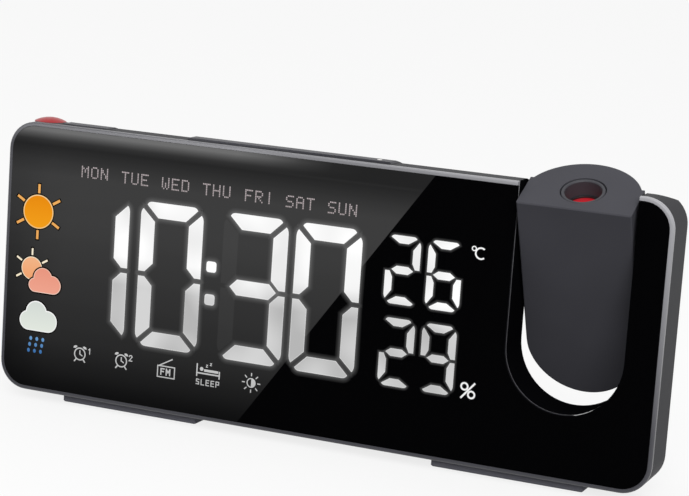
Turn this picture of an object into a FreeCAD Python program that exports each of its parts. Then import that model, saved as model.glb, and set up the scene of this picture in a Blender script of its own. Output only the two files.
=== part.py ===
"""Projection alarm clock: a slim mirror-faced clock with a tilting projector head.

Millimetres. X runs to the right, Y from the front face towards the back, Z up.
The origin is on the table, under the middle of the clock and its tilted head.
"""
import FreeCAD, Part
import math
import os
import Sketcher

SIZES = {
    # case
    "body_width": 190.0,
    "body_height": 76.0,
    "body_corner": 8.0,
    "case_wall": 2.0,
    "slab_depth": 14.0,
    "total_depth": 28.0,
    "plateau_depth": 7.5,
    "roof_slope": 15.0,
    "bulge_end": 11.0,
    "bulge_to_slot": 7.85,
    "bulge_corner": 4.0,
    "ledge_height": 14.0,
    "edge_round": 1.5,
    # front frame and panel
    "rim_width": 1.05,
    "frame_depth": 1.5,
    "lip_depth": 1.7,
    "seam_gap": 0.15,
    "fit_gap": 0.15,
    "panel_thickness": 0.95,
    "panel_play": 0.05,
    "touch_gap": 0.05,
    # rubber feet
    "foot_height": 2.8,
    "foot_length": 42.0,
    "foot_width": 22.0,
    "foot_corner": 0.8,
    "foot_end": 39.3,
    "foot_setback": 4.2,
    # slot for the projector head
    "slot_end": 25.3,
    "slot_width": 31.7,
    "slot_floor": 17.5,
    # display behind the panel
    "window_end": 2.4,
    "window_to_slot": 2.35,
    "window_bottom": 9.4,
    "window_drop": 9.8,
    "icon_column_width": 15.6,
    "icon_column_drop": 16.0,
    "film_thickness": 0.2,
    "reflector_depth": 6.0,
    "board_thickness": 1.6,
    "digit_width": 19.0,
    "digit_height": 40.2,
    "digit_bottom": 18.0,
    "segment_width": 4.4,
    "segment_gap": 1.3,
    "hour_tens_start": 17.4,
    "hour_units_start": 39.9,
    "minute_tens_start": 65.1,
    "minute_units_start": 86.4,
    "colon_start": 62.0,
    "colon_size": 3.0,
    "colon_low": 33.6,
    "colon_high": 42.65,
    "small_width": 9.5,
    "small_height": 18.2,
    "small_segment": 2.1,
    "small_gap": 0.9,
    "small_tens_end": 29.9,
    "small_units_end": 18.3,
    "humidity_bottom": 18.0,
    "temperature_bottom": 40.0,
    "unit_window_end": 6.9,
    "unit_window_width": 4.7,
    "unit_window_height": 4.4,
    "weekday_start": 20.2,
    "weekday_pitch": 12.35,
    "weekday_width": 9.4,
    "weekday_drop": 14.7,
    "weekday_height": 4.4,
    "weather_start": 7.6,
    "weather_bottom": 18.6,
    "weather_pitch": 16.2,
    "weather_radius": 7.1,
    "symbol_start": 23.3,
    "symbol_pitch": 13.1,
    "symbol_width": 8.6,
    "symbol_bottom": 10.0,
    "symbol_height": 6.0,
    "led_radius": 0.7,
    "picture_led_radius": 1.4,
    "led_height": 0.8,
    # case screws and their posts
    "post_radius": 2.4,
    "post_end": 6.5,
    "post_low": 6.5,
    "post_upper_end": 5.0,
    "post_upper_drop": 11.5,
    "post_to_slot": 3.85,
    "post_middle_drop": 7.0,
    "screw_radius": 1.2,
    "screw_head_radius": 2.0,
    "screw_head_height": 1.3,
    "drive_reach": 1.2,
    "drive_blade": 0.3,
    "drive_depth": 0.65,
    "screw_length": 8.0,
    # controls on the roof
    "travel": 0.8,
    "control_gap": 0.25,
    "control_front": 3.2,
    "control_to_back": 2.2,
    "snooze_left": -41.5,
    "snooze_right": 18.0,
    "snooze_rise": 0.5,
    "key_end": 14.8,
    "key_length": 14.2,
    "key_rise": 0.2,
    "catch_reach": 1.4,
    "catch_thickness": 0.9,
    "stem_front": 5.6,
    "stem_depth": 5.9,
    "switch_drop": 6.7,
    "switch_gap": 0.9,
    "switch_side": 4.5,
    "plunger_radius": 0.9,
    "plunger_height": 0.45,
    "switch_board_drop": 9.4,
    "switch_board_thickness": 1.2,
    "switch_board_overhang": 4.0,
    "switch_board_end": 7.7,
    "button_end": 8.9,
    "button_back": 6.6,
    "button_radius": 4.4,
    "button_rise": 1.1,
    "button_stem_radius": 2.0,
    "button_catch_reach": 0.75,
    "sensor_inset": 4.2,
    "sensor_back": 5.4,
    "sensor_radius": 0.65,
    # main board and what it carries
    "speaker_bay": 38.0,
    "main_end": 4.0,
    "main_bottom": 17.0,
    "main_drop": 14.0,
    "main_depth": 17.0,
    "standoff_radius": 2.6,
    "standoff_inset": 4.0,
    "board_screw_radius": 0.9,
    "board_screw_head": 1.9,
    "board_screw_length": 5.0,
    "chip_side": 10.0,
    "chip_height": 1.4,
    "chip_centre_height": 39.0,
    "radio_offset": 16.0,
    "radio_side": 6.0,
    "link_width": 20.0,
    "link_height": 2.6,
    "link_level": 24.0,
    "cell_inset": 22.0,
    "cell_level": 29.0,
    "cell_radius": 10.0,
    "cell_thickness": 3.2,
    "holder_wall": 1.4,
    "holder_floor": 0.8,
    "door_margin": 2.3,
    "door_thickness": 1.0,
    "door_ledge": 1.2,
    "coin_slot_length": 14.0,
    "coin_slot_width": 1.8,
    "coin_slot_depth": 0.6,
    "rear_key_pitch": 13.0,
    "rear_key_drop": 8.0,
    "rear_key_length": 7.0,
    "rear_key_height": 4.2,
    "rear_key_rise": 0.7,
    "rear_key_flange": 1.0,
    "rear_key_flange_reach": 1.0,
    "rear_switch_side": 5.0,
    "rear_plunger_radius": 1.25,
    "rear_plunger_height": 1.6,
    "inlet_inset": 14.0,
    "inlet_level": 22.0,
    "inlet_width": 9.2,
    "inlet_height": 3.4,
    "inlet_corner": 1.36,
    "inlet_recess": 0.5,
    "inlet_shell": 0.35,
    "inlet_depth": 6.2,
    "inlet_tongue_width": 6.6,
    "inlet_tongue_height": 0.7,
    "inlet_tongue_length": 5.0,
    "speaker_inset": 18.0,
    "speaker_level": 38.0,
    "speaker_radius": 14.0,
    "speaker_rim": 1.6,
    "speaker_basket_depth": 3.6,
    "speaker_plate": 1.0,
    "cone_thickness": 0.5,
    "cone_radius": 11.8,
    "cone_centre_radius": 3.9,
    "cone_rise": 1.1,
    "magnet_radius": 8.0,
    "magnet_thickness": 5.0,
    "grille_hole_radius": 0.9,
    "grille_pitch": 3.2,
    # projector head
    "head_side_gap": 0.8,
    "head_block_depth": 12.2,
    "head_shoulder": 0.82,
    "head_round_centre": 5.8,
    "head_wall": 1.8,
    "head_rise": 0.8,
    "head_tilt": 26.0,
    "pivot_to_back": 3.4,
    "pivot_drop": 9.65,
    "swing_gap": 0.55,
    "edge_break": 0.3,
    "pin_radius": 2.5,
    "pin_running_gap": 0.05,
    "pin_reach": 6.0,
    "pin_boss_radius": 3.8,
    "washer_radius": 4.5,
    "washer_play": 0.1,
    "cable_radius": 1.0,
    "cable_bore_radius": 1.2,
    "cable_tail": 1.2,
    "cable_end": 1.0,
    "head_screw_high": 22.0,
    "head_screw_tail": 11.1,
    "head_post_radius": 2.6,
    "head_rear_post_radius": 3.6,
    "head_pilot_floor": 1.0,
    "head_tail_hollow": 3.9,
    "head_screw_seat": 2.0,
    "head_screw_radius": 0.95,
    "head_screw_head": 1.8,
    "head_screw_length": 8.0,
    # projector optics
    "ring_radius": 5.75,
    "ring_groove": 0.2,
    "ring_bore_radius": 4.77,
    "ring_height": 6.95,
    "ring_recess": 0.1,
    "ring_flange": 0.8,
    "ring_to_wall": 0.35,
    "ring_flange_thickness": 1.0,
    "ring_grip": 0.25,
    "barrel_gap": 0.08,
    "barrel_top": 4.45,
    "barrel_height": 7.7,
    "barrel_wall": 0.8,
    "lens_seat": 0.5,
    "lens_edge": 1.0,
    "lens_crown": 0.9,
    "housing_top": 7.25,
    "housing_height": 17.4,
    "focus_travel": 1.3,
    "slide_side": 8.0,
    "slide_thickness": 1.3,
    "barrel_to_slide": 0.55,
    "condenser_radius": 3.6,
    "condenser_edge": 1.2,
    "condenser_crown": 1.4,
    "condenser_gap": 0.6,
    "led_side": 3.0,
    "led_body_height": 1.4,
    "led_board_width": 16.0,
    "led_board_depth": 12.0,
    "led_board_thickness": 1.2,
}

PAST = 1.0  # how far a cut runs past the face that it opens
GRILLE_RINGS = 3

document = FreeCAD.newDocument("projection_alarm_clock")
sheet = document.addObject("Spreadsheet::Sheet", "Sizes")


class Size:
    """A length or an angle: its value and the sheet expression that gives it."""

    def __init__(self, value, text):
        self.value = value
        self.text = text

    def __add__(self, other):
        return Size(self.value + number(other), "(%s + %s)" % (self.text, words(other)))

    def __sub__(self, other):
        return Size(self.value - number(other), "(%s - %s)" % (self.text, words(other)))

    def __mul__(self, other):
        return Size(self.value * number(other), "(%s * %s)" % (self.text, words(other)))

    def __truediv__(self, other):
        return Size(self.value / number(other), "(%s / %s)" % (self.text, words(other)))

    def __neg__(self):
        return Size(-self.value, "(-1 * %s)" % self.text)

    __radd__ = __add__
    __rmul__ = __mul__

    def __rsub__(self, other):
        return -self + other


def number(size):
    return size.value if isinstance(size, Size) else float(size)


def words(size):
    return size.text if isinstance(size, Size) else repr(float(size))


def root(size):
    return Size(math.sqrt(number(size)), "sqrt(%s)" % words(size))


def sine(angle):
    return Size(math.sin(math.radians(number(angle))), "sin(%s)" % words(angle))


def cosine(angle):
    return Size(math.cos(math.radians(number(angle))), "cos(%s)" % words(angle))


def tangent(angle):
    return Size(math.tan(math.radians(number(angle))), "tan(%s)" % words(angle))


def fill_sheet():
    """Writes each driving dimension in the sheet and returns them by name."""
    for row, (name, value) in enumerate(SIZES.items(), start=1):
        sheet.set("A%d" % row, name)
        sheet.set("B%d" % row, str(value))
        sheet.setAlias("B%d" % row, name)
    document.recompute()
    return {name: Size(value, "Sizes.%s" % name) for name, value in SIZES.items()}


size = fill_sheet()

# heights above the table and depths behind the front face that several pieces share
body_bottom = size["foot_height"]
body_top = body_bottom + size["body_height"]
half_width = size["body_width"] / 2
cover_front = size["frame_depth"] + size["seam_gap"]
slab_back = size["slab_depth"]
slab_inside = slab_back - size["case_wall"]
back_inside = size["total_depth"] - size["case_wall"]
slope = tangent(size["roof_slope"])
slab_ceiling = body_top - (slab_inside - size["plateau_depth"]) * slope - size["case_wall"]
bulge_ceiling = body_top - (back_inside - size["plateau_depth"]) * slope - size["case_wall"]
frame_back = size["frame_depth"] + size["lip_depth"]
panel_back = size["panel_play"] + size["panel_thickness"]

slot_centre = half_width - size["slot_end"]
slot_radius = size["slot_width"] / 2
slot_bottom = body_bottom + size["slot_floor"]
slot_round = slot_bottom + slot_radius
ring_radius = slot_radius + size["case_wall"]
ring_left = slot_centre - ring_radius

bulge_left = size["bulge_end"] - half_width
bulge_right = ring_left - size["bulge_to_slot"]
window_left = size["window_end"] - half_width
window_right = ring_left - size["window_to_slot"]
control_back = slab_back - size["control_to_back"]
key_left = size["key_end"] - half_width
button_side = size["button_end"] - half_width
switch_board_left = size["switch_board_end"] - half_width
main_left = bulge_left + size["speaker_bay"]
main_right = bulge_right - size["main_end"]
main_top = body_top - size["main_drop"]
rear_key_level = main_top - size["rear_key_drop"]
cell_side = main_left + size["cell_inset"]
door_radius = size["cell_radius"] + size["door_margin"]
inlet_side = main_right - size["inlet_inset"]
speaker_side = bulge_left + size["speaker_inset"]

head_half = slot_radius - size["head_side_gap"]
pivot_depth = slab_back - size["pivot_to_back"]
pivot_height = body_top + size["head_rise"] - size["pivot_drop"]
swing_radius = pivot_height - slot_bottom - size["swing_gap"]
head_round_start = head_half - swing_radius
block_back = size["head_block_depth"] - pivot_depth
round_centre = size["head_round_centre"] - pivot_depth
shoulder_half = head_half - size["head_shoulder"]
shoulder_offset = block_back - round_centre
head_round_radius = root(shoulder_half * shoulder_half + shoulder_offset * shoulder_offset)
round_back = round_centre + head_round_radius

# how far the tilted head reaches in front of and behind its pivot
head_front_reach = sine(size["head_tilt"]) * size["pivot_drop"] + cosine(size["head_tilt"]) * pivot_depth
tail_drop = root(swing_radius * swing_radius - round_back * round_back)
head_back_reach = sine(size["head_tilt"]) * tail_drop + cosine(size["head_tilt"]) * round_back
front_place = (head_front_reach - head_back_reach) / 2 - pivot_depth

flange_radius = size["ring_radius"] + size["ring_flange"]
lens_depth = size["head_wall"] + flange_radius + size["ring_to_wall"]
lens_axis = lens_depth - pivot_depth

nodes = []


def new_piece(name, x=0, y=front_place, z=0, tilt=0):
    """A named body placed in the clock; tilt turns it about the X axis."""
    body = document.addObject("PartDesign::Body", name)
    body.Label = name
    turn = FreeCAD.Rotation(FreeCAD.Vector(1, 0, 0), number(tilt))
    body.Placement = FreeCAD.Placement(FreeCAD.Vector(number(x), number(y), number(z)), turn)
    body.setExpression("Placement.Base.x", words(x))
    body.setExpression("Placement.Base.y", words(y))
    body.setExpression("Placement.Base.z", words(z))
    if number(tilt):
        body.setExpression("Placement.Rotation.Angle", words(tilt))
    nodes.append(body)
    return body


def head_piece(name):
    """A body of the projector head: its own origin is on the pivot axis."""
    pivot_place = front_place + pivot_depth
    return new_piece(name, slot_centre, pivot_place, pivot_height, size["head_tilt"])


def place_sketch(body, name, plane, offset):
    """An empty sketch on one of the body's own planes, moved along X, Y or Z by offset."""
    support = [feature for feature in body.Origin.OriginFeatures if feature.Role == plane + "_Plane"][0]
    sketch = body.newObject("Sketcher::SketchObject", name)
    sketch.AttachmentSupport = [(support, "")]
    sketch.MapMode = "FlatFace"
    along_normal = -offset if plane == "XZ" else offset
    sketch.setExpression("AttachmentOffset.Base.z", words(along_normal))
    return sketch


class Drawing:
    """The lines and circles of one sketch, with the sizes that hold them."""

    def __init__(self):
        self.edges = []
        self.rules = []
        self.sizes = []

    def rule(self, kind, *parts):
        self.rules.append(Sketcher.Constraint(kind, *parts))
        return len(self.rules) - 1

    def hold(self, kind, edge, end, value):
        """Fixes one coordinate of a point of the sketch by a size."""
        index = self.rule(kind, -1, 1, edge, end, number(value))
        if isinstance(value, Size):
            self.sizes.append((index, value.text))

    def circle(self, x, y, radius):
        centre = FreeCAD.Vector(number(x), number(y), 0)
        edge = len(self.edges)
        self.edges.append(Part.Circle(centre, FreeCAD.Vector(0, 0, 1), number(radius)))
        self.hold("DistanceX", edge, 3, x)
        self.hold("DistanceY", edge, 3, y)
        index = self.rule("Radius", edge, number(radius))
        if isinstance(radius, Size):
            self.sizes.append((index, radius.text))

    def outline(self, corners):
        """A closed outline through corners (x, y) or, ending an arc, (x, y, centre, leftward)."""
        points = [FreeCAD.Vector(number(corner[0]), number(corner[1]), 0) for corner in corners]
        first_edge = len(self.edges)
        ends = []
        for index, corner in enumerate(corners):
            edge = first_edge + index
            start = points[index - 1]
            end = points[index]
            if len(corner) == 2:
                self.edges.append(Part.LineSegment(start, end))
                ends.append((1, 2))
                continue
            middle = corner[2]
            centre = FreeCAD.Vector(number(middle[0]), number(middle[1]), 0)
            self.edges.append(arc_between(start, end, centre, corner[3]))
            ends.append((1, 2) if corner[3] else (2, 1))
            chord = end - start
            if abs(chord.x) > abs(chord.y):
                self.hold("DistanceY", edge, 3, middle[1])
            else:
                self.hold("DistanceX", edge, 3, middle[0])
        for index, corner in enumerate(corners):
            edge = first_edge + index
            after = (index + 1) % len(corners)
            self.rule("Coincident", edge, ends[index][1], first_edge + after, ends[after][0])
            self.hold("DistanceX", edge, ends[index][1], corner[0])
            self.hold("DistanceY", edge, ends[index][1], corner[1])

    def put_in(self, sketch):
        sketch.addGeometry(self.edges)
        sketch.addConstraint(self.rules)
        for index, text in self.sizes:
            sketch.setExpression("Constraints[%d]" % index, text)


def arc_between(start, end, centre, leftward):
    """The circular arc from start to end; leftward means turning anticlockwise."""
    circle = Part.Circle(centre, FreeCAD.Vector(0, 0, 1), centre.distanceToPoint(start))
    first, last = (start, end) if leftward else (end, start)
    first_angle = math.atan2(first.y - centre.y, first.x - centre.x)
    last_angle = math.atan2(last.y - centre.y, last.x - centre.x)
    return Part.ArcOfCircle(circle, first_angle, last_angle)


def sketch_shapes(body, plane, offset, outlines=(), circles=()):
    drawing = Drawing()
    for corners in outlines:
        drawing.outline(corners)
    for circle in circles:
        drawing.circle(*circle)
    sketch = place_sketch(body, "Sketch", plane, offset)
    drawing.put_in(sketch)
    return sketch


def add(body, plane, offset, length, outlines=(), circles=()):
    """Material from the plane at offset over length: backwards, upwards or to the right."""
    pad = body.newObject("PartDesign::Pad", "Pad")
    pad.Profile = sketch_shapes(body, plane, offset, outlines, circles)
    pad.Reversed = plane == "XZ"
    pad.setExpression("Length", words(length))
    return pad


def cut(body, plane, offset, length, outlines=(), circles=()):
    """Takes material away from the plane at offset over length, the same way as add."""
    pocket = body.newObject("PartDesign::Pocket", "Pocket")
    pocket.Profile = sketch_shapes(body, plane, offset, outlines, circles)
    pocket.Reversed = plane != "XZ"
    pocket.setExpression("Length", words(length))
    return pocket


def turned(body, corners, plane="XZ"):
    """A solid of revolution about the sketch's vertical axis."""
    revolution = body.newObject("PartDesign::Revolution", "Revolution")
    sketch = sketch_shapes(body, plane, 0, [corners])
    revolution.Profile = sketch
    revolution.ReferenceAxis = (sketch, ["V_Axis"])
    revolution.Angle = 360
    return revolution


def break_edges(body, kind, length, wanted):
    """Rounds or bevels those edges of the body's last feature that wanted picks."""
    document.recompute()
    base = body.Tip
    names = ["Edge%d" % (index + 1) for index, edge in enumerate(base.Shape.Edges) if wanted(edge)]
    feature = body.newObject("PartDesign::" + kind, kind)
    feature.Base = (base, names)
    feature.setExpression("Radius" if kind == "Fillet" else "Size", words(length))
    return feature


def rectangle(left, right, low, high):
    return [(left, low), (right, low), (right, high), (left, high)]


def rounded(left, right, low, high, radius):
    """A rectangle with round corners, anticlockwise."""
    return [
        (left + radius, low, (left + radius, low + radius), True),
        (right - radius, low),
        (right, low + radius, (right - radius, low + radius), True),
        (right, high - radius),
        (right - radius, high, (right - radius, high - radius), True),
        (left + radius, high),
        (left, high - radius, (left + radius, high - radius), True),
        (left, low + radius),
    ]


def slot_outline(radius, high):
    """The slot for the head: open at the top, with a half-round floor."""
    centre = slot_centre
    return [
        (centre - radius, high),
        (centre - radius, slot_round),
        (centre + radius, slot_round, (centre, slot_round), True),
        (centre + radius, high),
    ]


def case_outline(inset):
    radius = size["body_corner"] - inset
    return rounded(inset - half_width, half_width - inset, body_bottom + inset, body_top - inset, radius)


def chamber_outline(gap):
    """The inside of the case behind the front frame, smaller all round by gap."""
    inset = size["case_wall"] + gap
    radius = size["body_corner"] - inset
    return rounded(inset - half_width, half_width - inset, body_bottom + inset, slab_ceiling - gap, radius)


def window_outline(gap):
    """The display's outline: the digits' field and the weather column beside it."""
    left = window_left - gap
    right = window_right + gap
    low = body_bottom + size["window_bottom"] - gap
    high = body_top - size["window_drop"] + gap
    column_right = window_left + size["icon_column_width"] - gap
    column_high = body_top - size["icon_column_drop"] + gap
    return [
        (left, low),
        (right, low),
        (right, high),
        (column_right, high),
        (column_right, column_high),
        (left, column_high),
    ]


def post_places():
    """Where the five case screws sit."""
    low = body_bottom + size["post_low"]
    side = half_width - size["post_end"]
    high = body_top - size["post_upper_drop"]
    upper_side = half_width - size["post_upper_end"]
    middle = (ring_left - size["post_to_slot"], body_top - size["post_middle_drop"])
    return [(-side, low), (side, low), (-upper_side, high), (upper_side, high), middle]


def standoff_places():
    """Where the main board is screwed down."""
    low = body_bottom + size["main_bottom"] + size["standoff_inset"]
    high = main_top - size["standoff_inset"]
    sides = (main_left + size["standoff_inset"], main_right - size["standoff_inset"])
    return [(side, level) for side in sides for level in (low, high)]


def rear_key_places():
    return [size["rear_key_pitch"] * step for step in (-2, -1, 0, 1, 2)]


def inlet_outline(gap):
    side = inlet_side
    level = body_bottom + size["inlet_level"]
    half = size["inlet_width"] / 2 + gap
    half_height = size["inlet_height"] / 2 + gap
    corner = size["inlet_corner"] + gap
    return rounded(side - half, side + half, level - half_height, level + half_height, corner)


def front_frame():
    """The slim frame round the panel, with the posts that take the case screws."""
    body = new_piece("front_frame")
    add(body, "XZ", 0, size["frame_depth"], [case_outline(0)])
    break_edges(body, "Chamfer", size["edge_break"], front_edges)
    add(body, "XZ", size["frame_depth"], size["lip_depth"], [chamber_outline(size["fit_gap"])])
    post_length = slab_inside - size["fit_gap"] - size["frame_depth"]
    posts = [(x, z, size["post_radius"]) for x, z in post_places()]
    add(body, "XZ", size["frame_depth"], post_length, circles=posts)
    cut(body, "XZ", 0, panel_back, [case_outline(size["rim_width"])])
    cut(body, "XZ", panel_back, frame_back, [window_outline(size["fit_gap"])])
    cut(body, "XZ", 0, size["frame_depth"], [slot_outline(slot_radius, body_top + PAST)])
    ring_outline = slot_outline(ring_radius + size["fit_gap"], body_top + PAST)
    cut(body, "XZ", size["frame_depth"], size["lip_depth"], [ring_outline])
    pilots = [(x, z, size["screw_radius"] + size["touch_gap"]) for x, z in post_places()]
    cut(body, "XZ", frame_back, slab_back, circles=pilots)


def front_edges(edge):
    """True for the edges on the clock's front plane."""
    return edge.BoundBox.YMax < 0.001


def front_panel():
    """The smoked mirror panel over the display, cut out round the slot."""
    body = new_piece("front_panel")
    sunk = size["panel_play"]
    outline = case_outline(size["rim_width"] + size["panel_play"])
    add(body, "XZ", sunk, size["panel_thickness"], [outline])
    cut(body, "XZ", sunk, size["panel_thickness"], [slot_outline(slot_radius, body_top + PAST)])


film_front = panel_back + size["touch_gap"]
reflector_front = film_front + size["film_thickness"]
display_board_front = reflector_front + size["reflector_depth"]


def display_film():
    """The printed film that diffuses the light of the segments."""
    body = new_piece("display_film")
    add(body, "XZ", film_front, size["film_thickness"], [window_outline(0)])


def segments(left, low, width, height, bar, gap):
    """The seven windows of one digit as rectangles."""
    middle = low + height / 2
    reach = (height - bar * 2 - gap * 2) / 2
    flat = [low, middle - bar / 2, low + height - bar]
    upright = [low + bar + gap / 2, middle + gap / 2]
    shapes = [rectangle(left + bar + gap, left + width - bar - gap, level, level + bar) for level in flat]
    for side in (left, left + width - bar):
        for level in upright:
            shapes.append(rectangle(side, side + bar, level, level + reach))
    return shapes


def digit_windows():
    """The windows of each digit: four large ones for the time, four small ones."""
    bottom = body_bottom + size["digit_bottom"]
    shape = (size["digit_width"], size["digit_height"], size["segment_width"], size["segment_gap"])
    small_shape = (size["small_width"], size["small_height"], size["small_segment"], size["small_gap"])
    digits = []
    for name in ("hour_tens_start", "hour_units_start", "minute_tens_start", "minute_units_start"):
        digits.append(segments(window_left + size[name], bottom, *shape))
    for level in ("humidity_bottom", "temperature_bottom"):
        for name in ("small_tens_end", "small_units_end"):
            digits.append(segments(window_right - size[name], body_bottom + size[level], *small_shape))
    return digits


def row_windows():
    """The windows of the colon, the weekdays, the symbols and the two units."""
    half = size["colon_size"] / 2
    middle = window_left + size["colon_start"]
    windows = []
    for name in ("colon_low", "colon_high"):
        level = body_bottom + size[name]
        windows.append(rectangle(middle - half, middle + half, level - half, level + half))
    day_low = body_top - size["weekday_drop"]
    day_high = day_low + size["weekday_height"]
    for day in range(7):
        left = window_left + size["weekday_start"] + size["weekday_pitch"] * day
        windows.append(rectangle(left, left + size["weekday_width"], day_low, day_high))
    symbol_low = body_bottom + size["symbol_bottom"]
    symbol_high = symbol_low + size["symbol_height"]
    half = size["symbol_width"] / 2
    for step in range(5):
        middle = window_left + size["symbol_start"] + size["symbol_pitch"] * step
        windows.append(rectangle(middle - half, middle + half, symbol_low, symbol_high))
    unit_left = window_right - size["unit_window_end"]
    unit_right = unit_left + size["unit_window_width"]
    degrees_level = size["temperature_bottom"] + size["small_height"] - size["unit_window_height"]
    for level in (size["humidity_bottom"], degrees_level):
        low = body_bottom + level
        windows.append(rectangle(unit_left, unit_right, low, low + size["unit_window_height"]))
    return windows


def weather_windows():
    """The round windows of the three weather pictures."""
    bottom = body_bottom + size["weather_bottom"]
    levels = [bottom + size["weather_pitch"] * step for step in range(3)]
    column = window_left + size["weather_start"]
    return [(column, level, size["weather_radius"]) for level in levels]


def display_reflector():
    """The light box: a white plate with one window for each lit shape."""
    body = new_piece("display_reflector")
    add(body, "XZ", reflector_front, size["reflector_depth"], [window_outline(0)])
    for shapes in digit_windows():
        cut(body, "XZ", reflector_front, size["reflector_depth"], shapes)
    cut(body, "XZ", reflector_front, size["reflector_depth"], row_windows(), weather_windows())


def display_board():
    """The circuit board behind the light box."""
    body = new_piece("display_board")
    add(body, "XZ", display_board_front, size["board_thickness"], [window_outline(0)])


def display_leds():
    """One light on the display board in the middle of each window."""
    body = new_piece("display_leds")
    front = display_board_front - size["led_height"]
    groups = digit_windows() + [row_windows()]
    for shapes in groups:
        lights = []
        for corners in shapes:
            middle_x = (corners[0][0] + corners[1][0]) / 2
            middle_z = (corners[0][1] + corners[2][1]) / 2
            lights.append((middle_x, middle_z, size["led_radius"]))
        add(body, "XZ", front, size["led_height"], circles=lights)
    pictures = [(x, z, size["picture_led_radius"]) for x, z, radius in weather_windows()]
    add(body, "XZ", front, size["led_height"], circles=pictures)


def rear_cover():
    """The rear shell: a slab round the slot, and a deeper part for the electronics."""
    body = new_piece("rear_cover")
    add(body, "XZ", cover_front, slab_back - cover_front, [case_outline(0)])
    bulge_depth = size["total_depth"] - slab_back
    corner = size["bulge_corner"]
    bulge = rounded(bulge_left, bulge_right, body_bottom, body_top, corner)
    add(body, "XZ", slab_back, bulge_depth, [bulge])
    ledge_top = body_bottom + size["ledge_height"]
    ledge = rounded(bulge_left, -bulge_left, body_bottom, ledge_top, corner)
    add(body, "XZ", slab_back, bulge_depth, [ledge])
    over = size["total_depth"] + PAST
    drop = (over - size["plateau_depth"]) * slope
    wedge = [
        (size["plateau_depth"], body_top),
        (over, body_top - drop),
        (over, body_top + PAST),
        (size["plateau_depth"], body_top + PAST),
    ]
    cut(body, "YZ", -half_width, size["body_width"], [wedge])
    break_edges(body, "Chamfer", size["edge_round"], rear_edges)
    cut(body, "XZ", cover_front, slab_inside - cover_front, [chamber_outline(0)])
    wall = size["case_wall"]
    floor = body_bottom + wall
    hollow_left = bulge_left + wall
    hollow_depth = back_inside - slab_inside
    hollow = rounded(hollow_left, bulge_right - wall, floor, bulge_ceiling, corner - wall)
    cut(body, "XZ", slab_inside, hollow_depth, [hollow])
    ledge_hollow = rounded(hollow_left, -hollow_left, floor, ledge_top - wall, corner - wall)
    cut(body, "XZ", slab_inside, hollow_depth, [ledge_hollow])
    add(body, "XZ", cover_front, slab_back - cover_front, [slot_outline(ring_radius, slab_ceiling + PAST)])
    cut(body, "XZ", cover_front, slab_back, [slot_outline(slot_radius, body_top + PAST)])
    cover_bores(body)
    cover_control_openings(body)
    cover_back_openings(body)


def rear_edges(edge):
    """True for the edges of the rearmost face."""
    return edge.BoundBox.YMin > number(size["total_depth"]) - 0.001


def cover_bores(body):
    """The bores that carry the head's pins, and the case screws' holes."""
    left = slot_centre - ring_radius - PAST
    bore = (pivot_depth, pivot_height, size["pin_radius"] + size["pin_running_gap"])
    cut(body, "YZ", left, (ring_radius + PAST) * 2, circles=[bore])
    holes = [(x, z, size["screw_radius"] + size["fit_gap"]) for x, z in post_places()]
    cut(body, "XZ", slab_inside - PAST, size["case_wall"] + PAST * 2, circles=holes)
    seats = [(x, z, size["screw_head_radius"] + size["fit_gap"]) for x, z in post_places()]
    cut(body, "XZ", slab_back - size["case_wall"] / 2, size["case_wall"], circles=seats)
    standoffs = [(x, z, size["standoff_radius"]) for x, z in standoff_places()]
    board_back = size["main_depth"] + size["board_thickness"] + size["touch_gap"]
    add(body, "XZ", board_back, back_inside - board_back, circles=standoffs)
    pilots = [(x, z, size["board_screw_radius"] + size["touch_gap"]) for x, z in standoff_places()]
    cut(body, "XZ", board_back, back_inside - board_back, circles=pilots)


def cover_control_openings(body):
    """The openings in the roof for the snooze bar, the key and the round button."""
    gap = size["control_gap"]
    front = size["control_front"] - gap
    back = control_back + gap
    bars = [
        rectangle(size["snooze_left"] - gap, size["snooze_right"] + gap, front, back),
        rectangle(key_left - gap, key_left + size["key_length"] + gap, front, back),
    ]
    roof = slab_ceiling - PAST
    through = body_top + PAST - roof
    cut(body, "XY", roof, through, bars)
    button = (button_side, size["button_back"], size["button_radius"] + size["fit_gap"])
    cut(body, "XY", roof, through, circles=[button])


def cover_back_openings(body):
    """The openings in the back wall: keys, battery door, power inlet and speaker grille."""
    gap = size["control_gap"]
    half = size["rear_key_length"] / 2 + gap
    half_height = size["rear_key_height"] / 2 + gap
    level = rear_key_level
    keys = [rounded(x - half, x + half, level - half_height, level + half_height, half_height / 2)
            for x in rear_key_places()]
    start = back_inside - PAST
    through = size["case_wall"] + PAST * 2
    cut(body, "XZ", start, through, keys + [inlet_outline(size["fit_gap"])])
    door = (cell_side, body_bottom + size["cell_level"])
    door_hole = door_radius + size["fit_gap"]
    cut(body, "XZ", start, through, circles=[(*door, door_hole - size["door_ledge"])])
    recess = size["total_depth"] - size["door_thickness"]
    cut(body, "XZ", recess, size["door_thickness"], circles=[(*door, door_hole)])
    middle = body_bottom + size["speaker_level"]
    holes = [(speaker_side, middle, size["grille_hole_radius"])]
    for ring in range(1, GRILLE_RINGS + 1):
        count = 6 * ring
        for step in range(count):
            angle = 360.0 * step / count
            reach = size["grille_pitch"] * ring
            x = speaker_side + reach * math.cos(math.radians(angle))
            z = middle + reach * math.sin(math.radians(angle))
            holes.append((x, z, size["grille_hole_radius"]))
    cut(body, "XZ", start, through, circles=holes)


def foot(name, side):
    """A rubber foot under the case."""
    body = new_piece(name)
    middle = (half_width - size["foot_end"]) * side
    half = size["foot_length"] / 2
    back = size["foot_setback"] + size["foot_width"]
    outline = rounded(middle - half, middle + half, size["foot_setback"], back, size["foot_corner"])
    add(body, "XY", 0, size["foot_height"], [outline])
    break_edges(body, "Chamfer", size["edge_break"], lambda edge: edge.BoundBox.ZMax < 0.001)


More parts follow.
